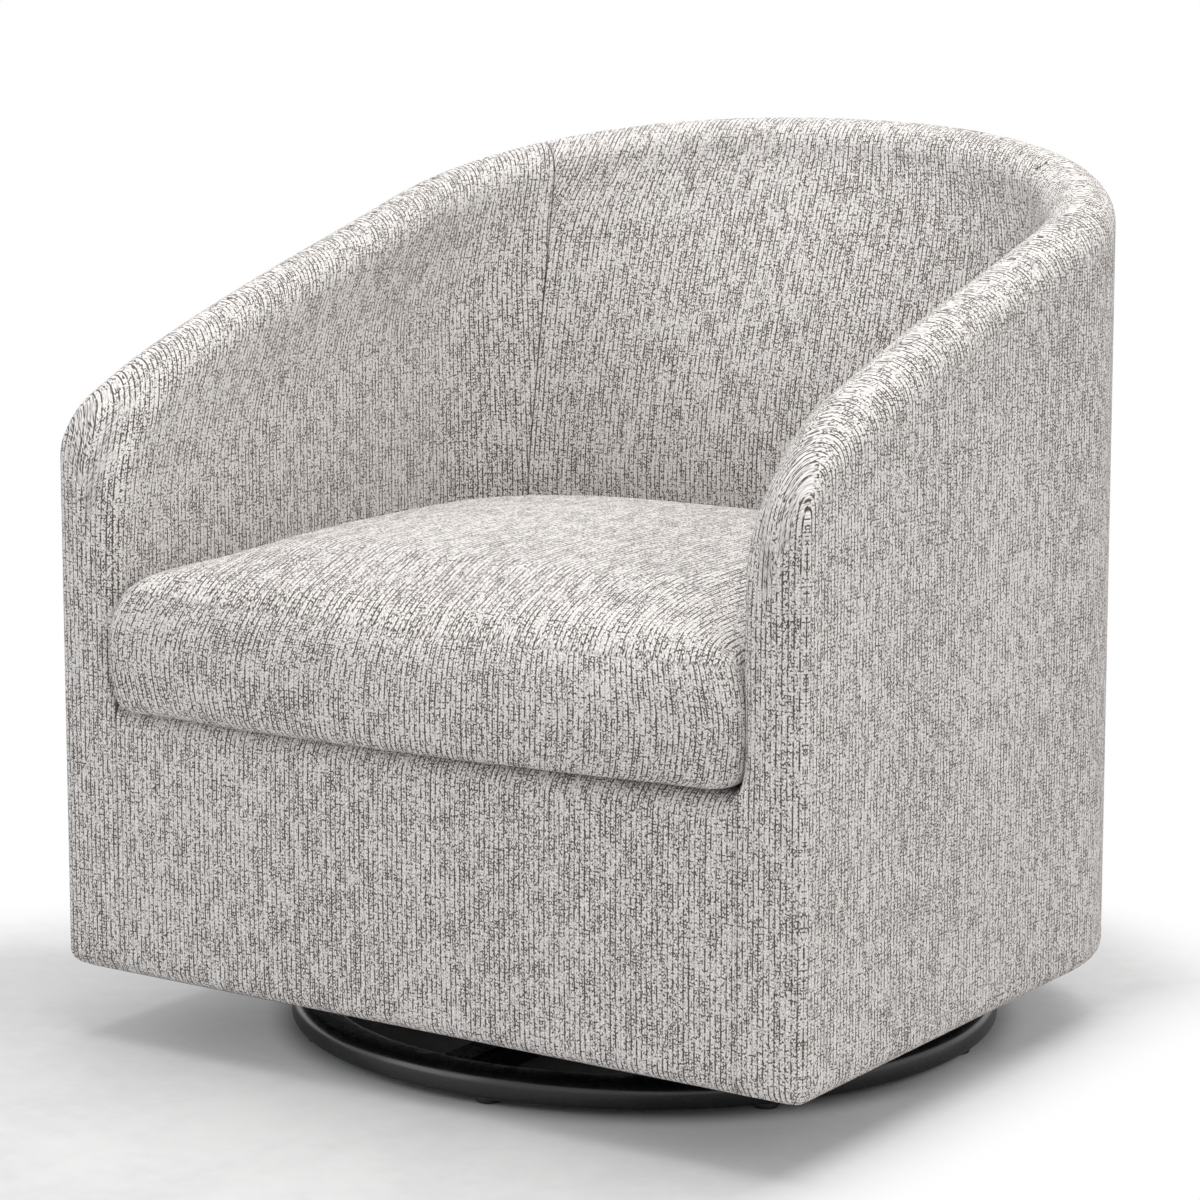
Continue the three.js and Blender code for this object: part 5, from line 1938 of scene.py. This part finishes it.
@dataclass(frozen=True)
class Floor:
    """Pale mottled concrete that turns to white a little way round the chair."""

    half: float = 14.0
    points: int = 9
    under: float = 0.0002
    grey: tuple = linear(212, 212, 212)
    dark: tuple = linear(190, 190, 191)
    broad_noise: tuple[float, float, float] = (5.0, 5.0, 0.6)
    fine_noise: tuple[float, float, float] = (42.0, 4.0, 0.6)
    broad_share: float = 0.65
    mottling: tuple[float, float] = (0.38, 0.64)
    # Painted light: the share of camera-only white that lightens the chair's shadow on the floor outside the
    # ring.
    painted_shadow_lift: float = 0.16
    grain_depth: float = 0.0004
    pool: tuple[float, float] = (-0.33, -0.38)
    fade: tuple[float, float] = (0.55, 1.35)
    clear: tuple[float, float] = (0.42, 0.62)
    # From x = 0.29 the floor turns white, which under the chair's right side is painted light on its shadow.
    right: tuple[float, float] = (0.29, 0.46)
    rim: tuple[float, float] = (0.305, 0.345)

    def material(self) -> bpy.types.Material:
        """The floor's material.

        The share of white rises with the distance from a point in front of the chair, more
        quickly behind it and not at all under it. It also rises to full from x = 0.29 to x = 0.46,
        which turns the floor white on the right and, under the chair's right side, is painted
        light that lightens the chair's shadow. Outside the ring it is never less than a small
        painted lift of the chair's shadow. The white is seen by the camera alone.

        Returns:
            The material.
        """
        s = Shader("studio_floor")
        place = s.place()
        x, y = s.part(place, "X"), s.part(place, "Y")
        broad, fine = s.noise(place, *self.broad_noise), s.noise(place, *self.fine_noise)
        mottle = (broad * self.broad_share + fine * (1 - self.broad_share)).ramp(*self.mottling)
        east, north = x - self.pool[0], y - self.pool[1]
        away = (east * east + north * north * 0.8) ** 0.5
        behind = (y * 0.85 - x * 0.5 + 0.2).at_least(0.0)
        radius = (x * x + y * y) ** 0.5
        fade = (away + behind * 1.5 + (broad - 0.5) * 0.5).ramp(*self.fade) * radius.ramp(*self.clear)
        # Painted light: white under the chair's right side and outside the ring lightens the chair's shadow
        # on the floor.
        share = fade.at_least(x.ramp(*self.right)).at_least(radius.ramp(*self.rim) * self.painted_shadow_lift)
        ground = s.node("ShaderNodeBsdfPrincipled", None, {
            "Base Color": s.mix(mottle * 0.5, self.grey, self.dark), "Roughness": 0.62,
            "Normal": s.bump(fine, self.grain_depth, 0.4), "Specular IOR Level": 0.3})
        white = s.node("ShaderNodeEmission", None, {"Color": WHITE, "Strength": 1.0})
        seen = share * s.node("ShaderNodeLightPath", None, None, "Is Camera Ray")
        return s.close(s.node("ShaderNodeMixShader", None, {0: seen, 1: ground, 2: white}))

    def lay(self) -> None:
        """Adds the floor, a flat grid just under the glides that faces up."""
        edge = np.linspace(-self.half, self.half, self.points)
        x, y = np.meshgrid(edge, edge)
        points = np.stack([x, y, np.full_like(x, -self.under)], -1)
        floor = build_mesh("studio_floor", [Patch(points, points[..., :2])])
        if floor.data.polygons[0].normal.z < 0:
            floor.data.flip_normals()
        floor.data.materials.append(self.material())


@dataclass
class Studio:
    """Floor, white surround, soft lamps and the photograph's camera."""

    camera_place: tuple[float, float, float] = (1.7857, -2.7112, 0.9463)
    heading: float = math.radians(34.07)
    pitch: float = math.radians(8.55)
    focal_pixels: float = 3719.0
    frame_pixels: float = 1200.0
    axis_row: float = 506.0
    sensor: float = 36.0
    far: float = 60.0
    sky: tuple = (0.98, 0.99, 1.0, 1.0)
    sky_level: float = 0.56
    floor: Floor = Floor()
    lamps: tuple[Lamp, ...] = (
        Lamp("overhead", (0.3, -0.05, 3.0), (0.0, 0.0, 0.4), 2.6, 73.0, (1.0, 0.995, 0.985)),
        Lamp("side_key", (2.9, -0.9, 1.7), (0.1, 0.0, 0.45), 1.8, 22.0, (1.0, 0.98, 0.95)),
        Lamp("front_fill", (-2.2, -2.9, 1.2), (0.0, 0.0, 0.3), 2.2, 21.0, (0.97, 0.985, 1.0)))

    def place_camera(self) -> None:
        """Sets the camera that the photograph was solved for."""
        data = bpy.data.cameras.new("view")
        data.sensor_width = self.sensor
        data.lens = self.focal_pixels / self.frame_pixels * self.sensor
        data.shift_y = (self.axis_row - self.frame_pixels / 2) / self.frame_pixels
        data.clip_end = self.far
        camera = bpy.data.objects.new("view", data)
        bpy.context.scene.collection.objects.link(camera)
        turn = Matrix.Rotation(self.heading, 4, "Z") @ Matrix.Rotation(QUARTER - self.pitch, 4, "X")
        camera.matrix_world = Matrix.Translation(Vector(self.camera_place)) @ turn
        bpy.context.scene.camera = camera

    def light_world(self) -> None:
        """A white surround for the camera and for reflections, and a soft even level elsewhere."""
        s = Shader("surround", "worlds")
        seen = s.node("ShaderNodeLightPath", None, None, "Is Camera Ray")
        shiny = s.node("ShaderNodeLightPath", None, None, "Is Glossy Ray")
        soft = s.node("ShaderNodeBackground", None, {"Color": self.sky, "Strength": self.sky_level})
        white = s.node("ShaderNodeBackground", None, {"Color": WHITE, "Strength": 1.0})
        either = s.node("ShaderNodeMixShader", None, {0: seen.at_least(shiny), 1: soft, 2: white})
        bpy.context.scene.world = s.close(either)

    def build(self) -> None:
        """Builds the whole studio."""
        bpy.context.scene.view_settings.view_transform = "Standard"
        self.place_camera()
        self.light_world()
        self.floor.lay()
        for lamp in self.lamps:
            lamp.hang()


def report(pieces: Iterable[bpy.types.Object]) -> None:
    """Logs each piece's size."""
    for piece in pieces:
        span = ", ".join(f"{1000 * d:.0f}" for d in piece.dimensions)
        log.info("%s: %s mm, %d faces", piece.name, span, len(piece.data.polygons))


def main() -> None:
    """Builds the upholstery, dresses the frame and sets the studio."""
    logging.basicConfig(level=logging.INFO, format="%(name)s: %(message)s")
    Studio().build()
    finishes = Finishes()
    log.info("dressed %d packed nodes", finishes.dress_frame())
    made = [part.build(finishes) for part in (ArmCover(side=1), ArmCover(side=-1), BackCover(), RailCover(),
                                              SeatCushion(), SeatDeck(), DustCover())]
    made += [*RingBase().build(finishes), *CoilSprings().build(finishes)]
    bpy.context.view_layer.update()
    report(made)


if __name__ == "__main__":
    main()
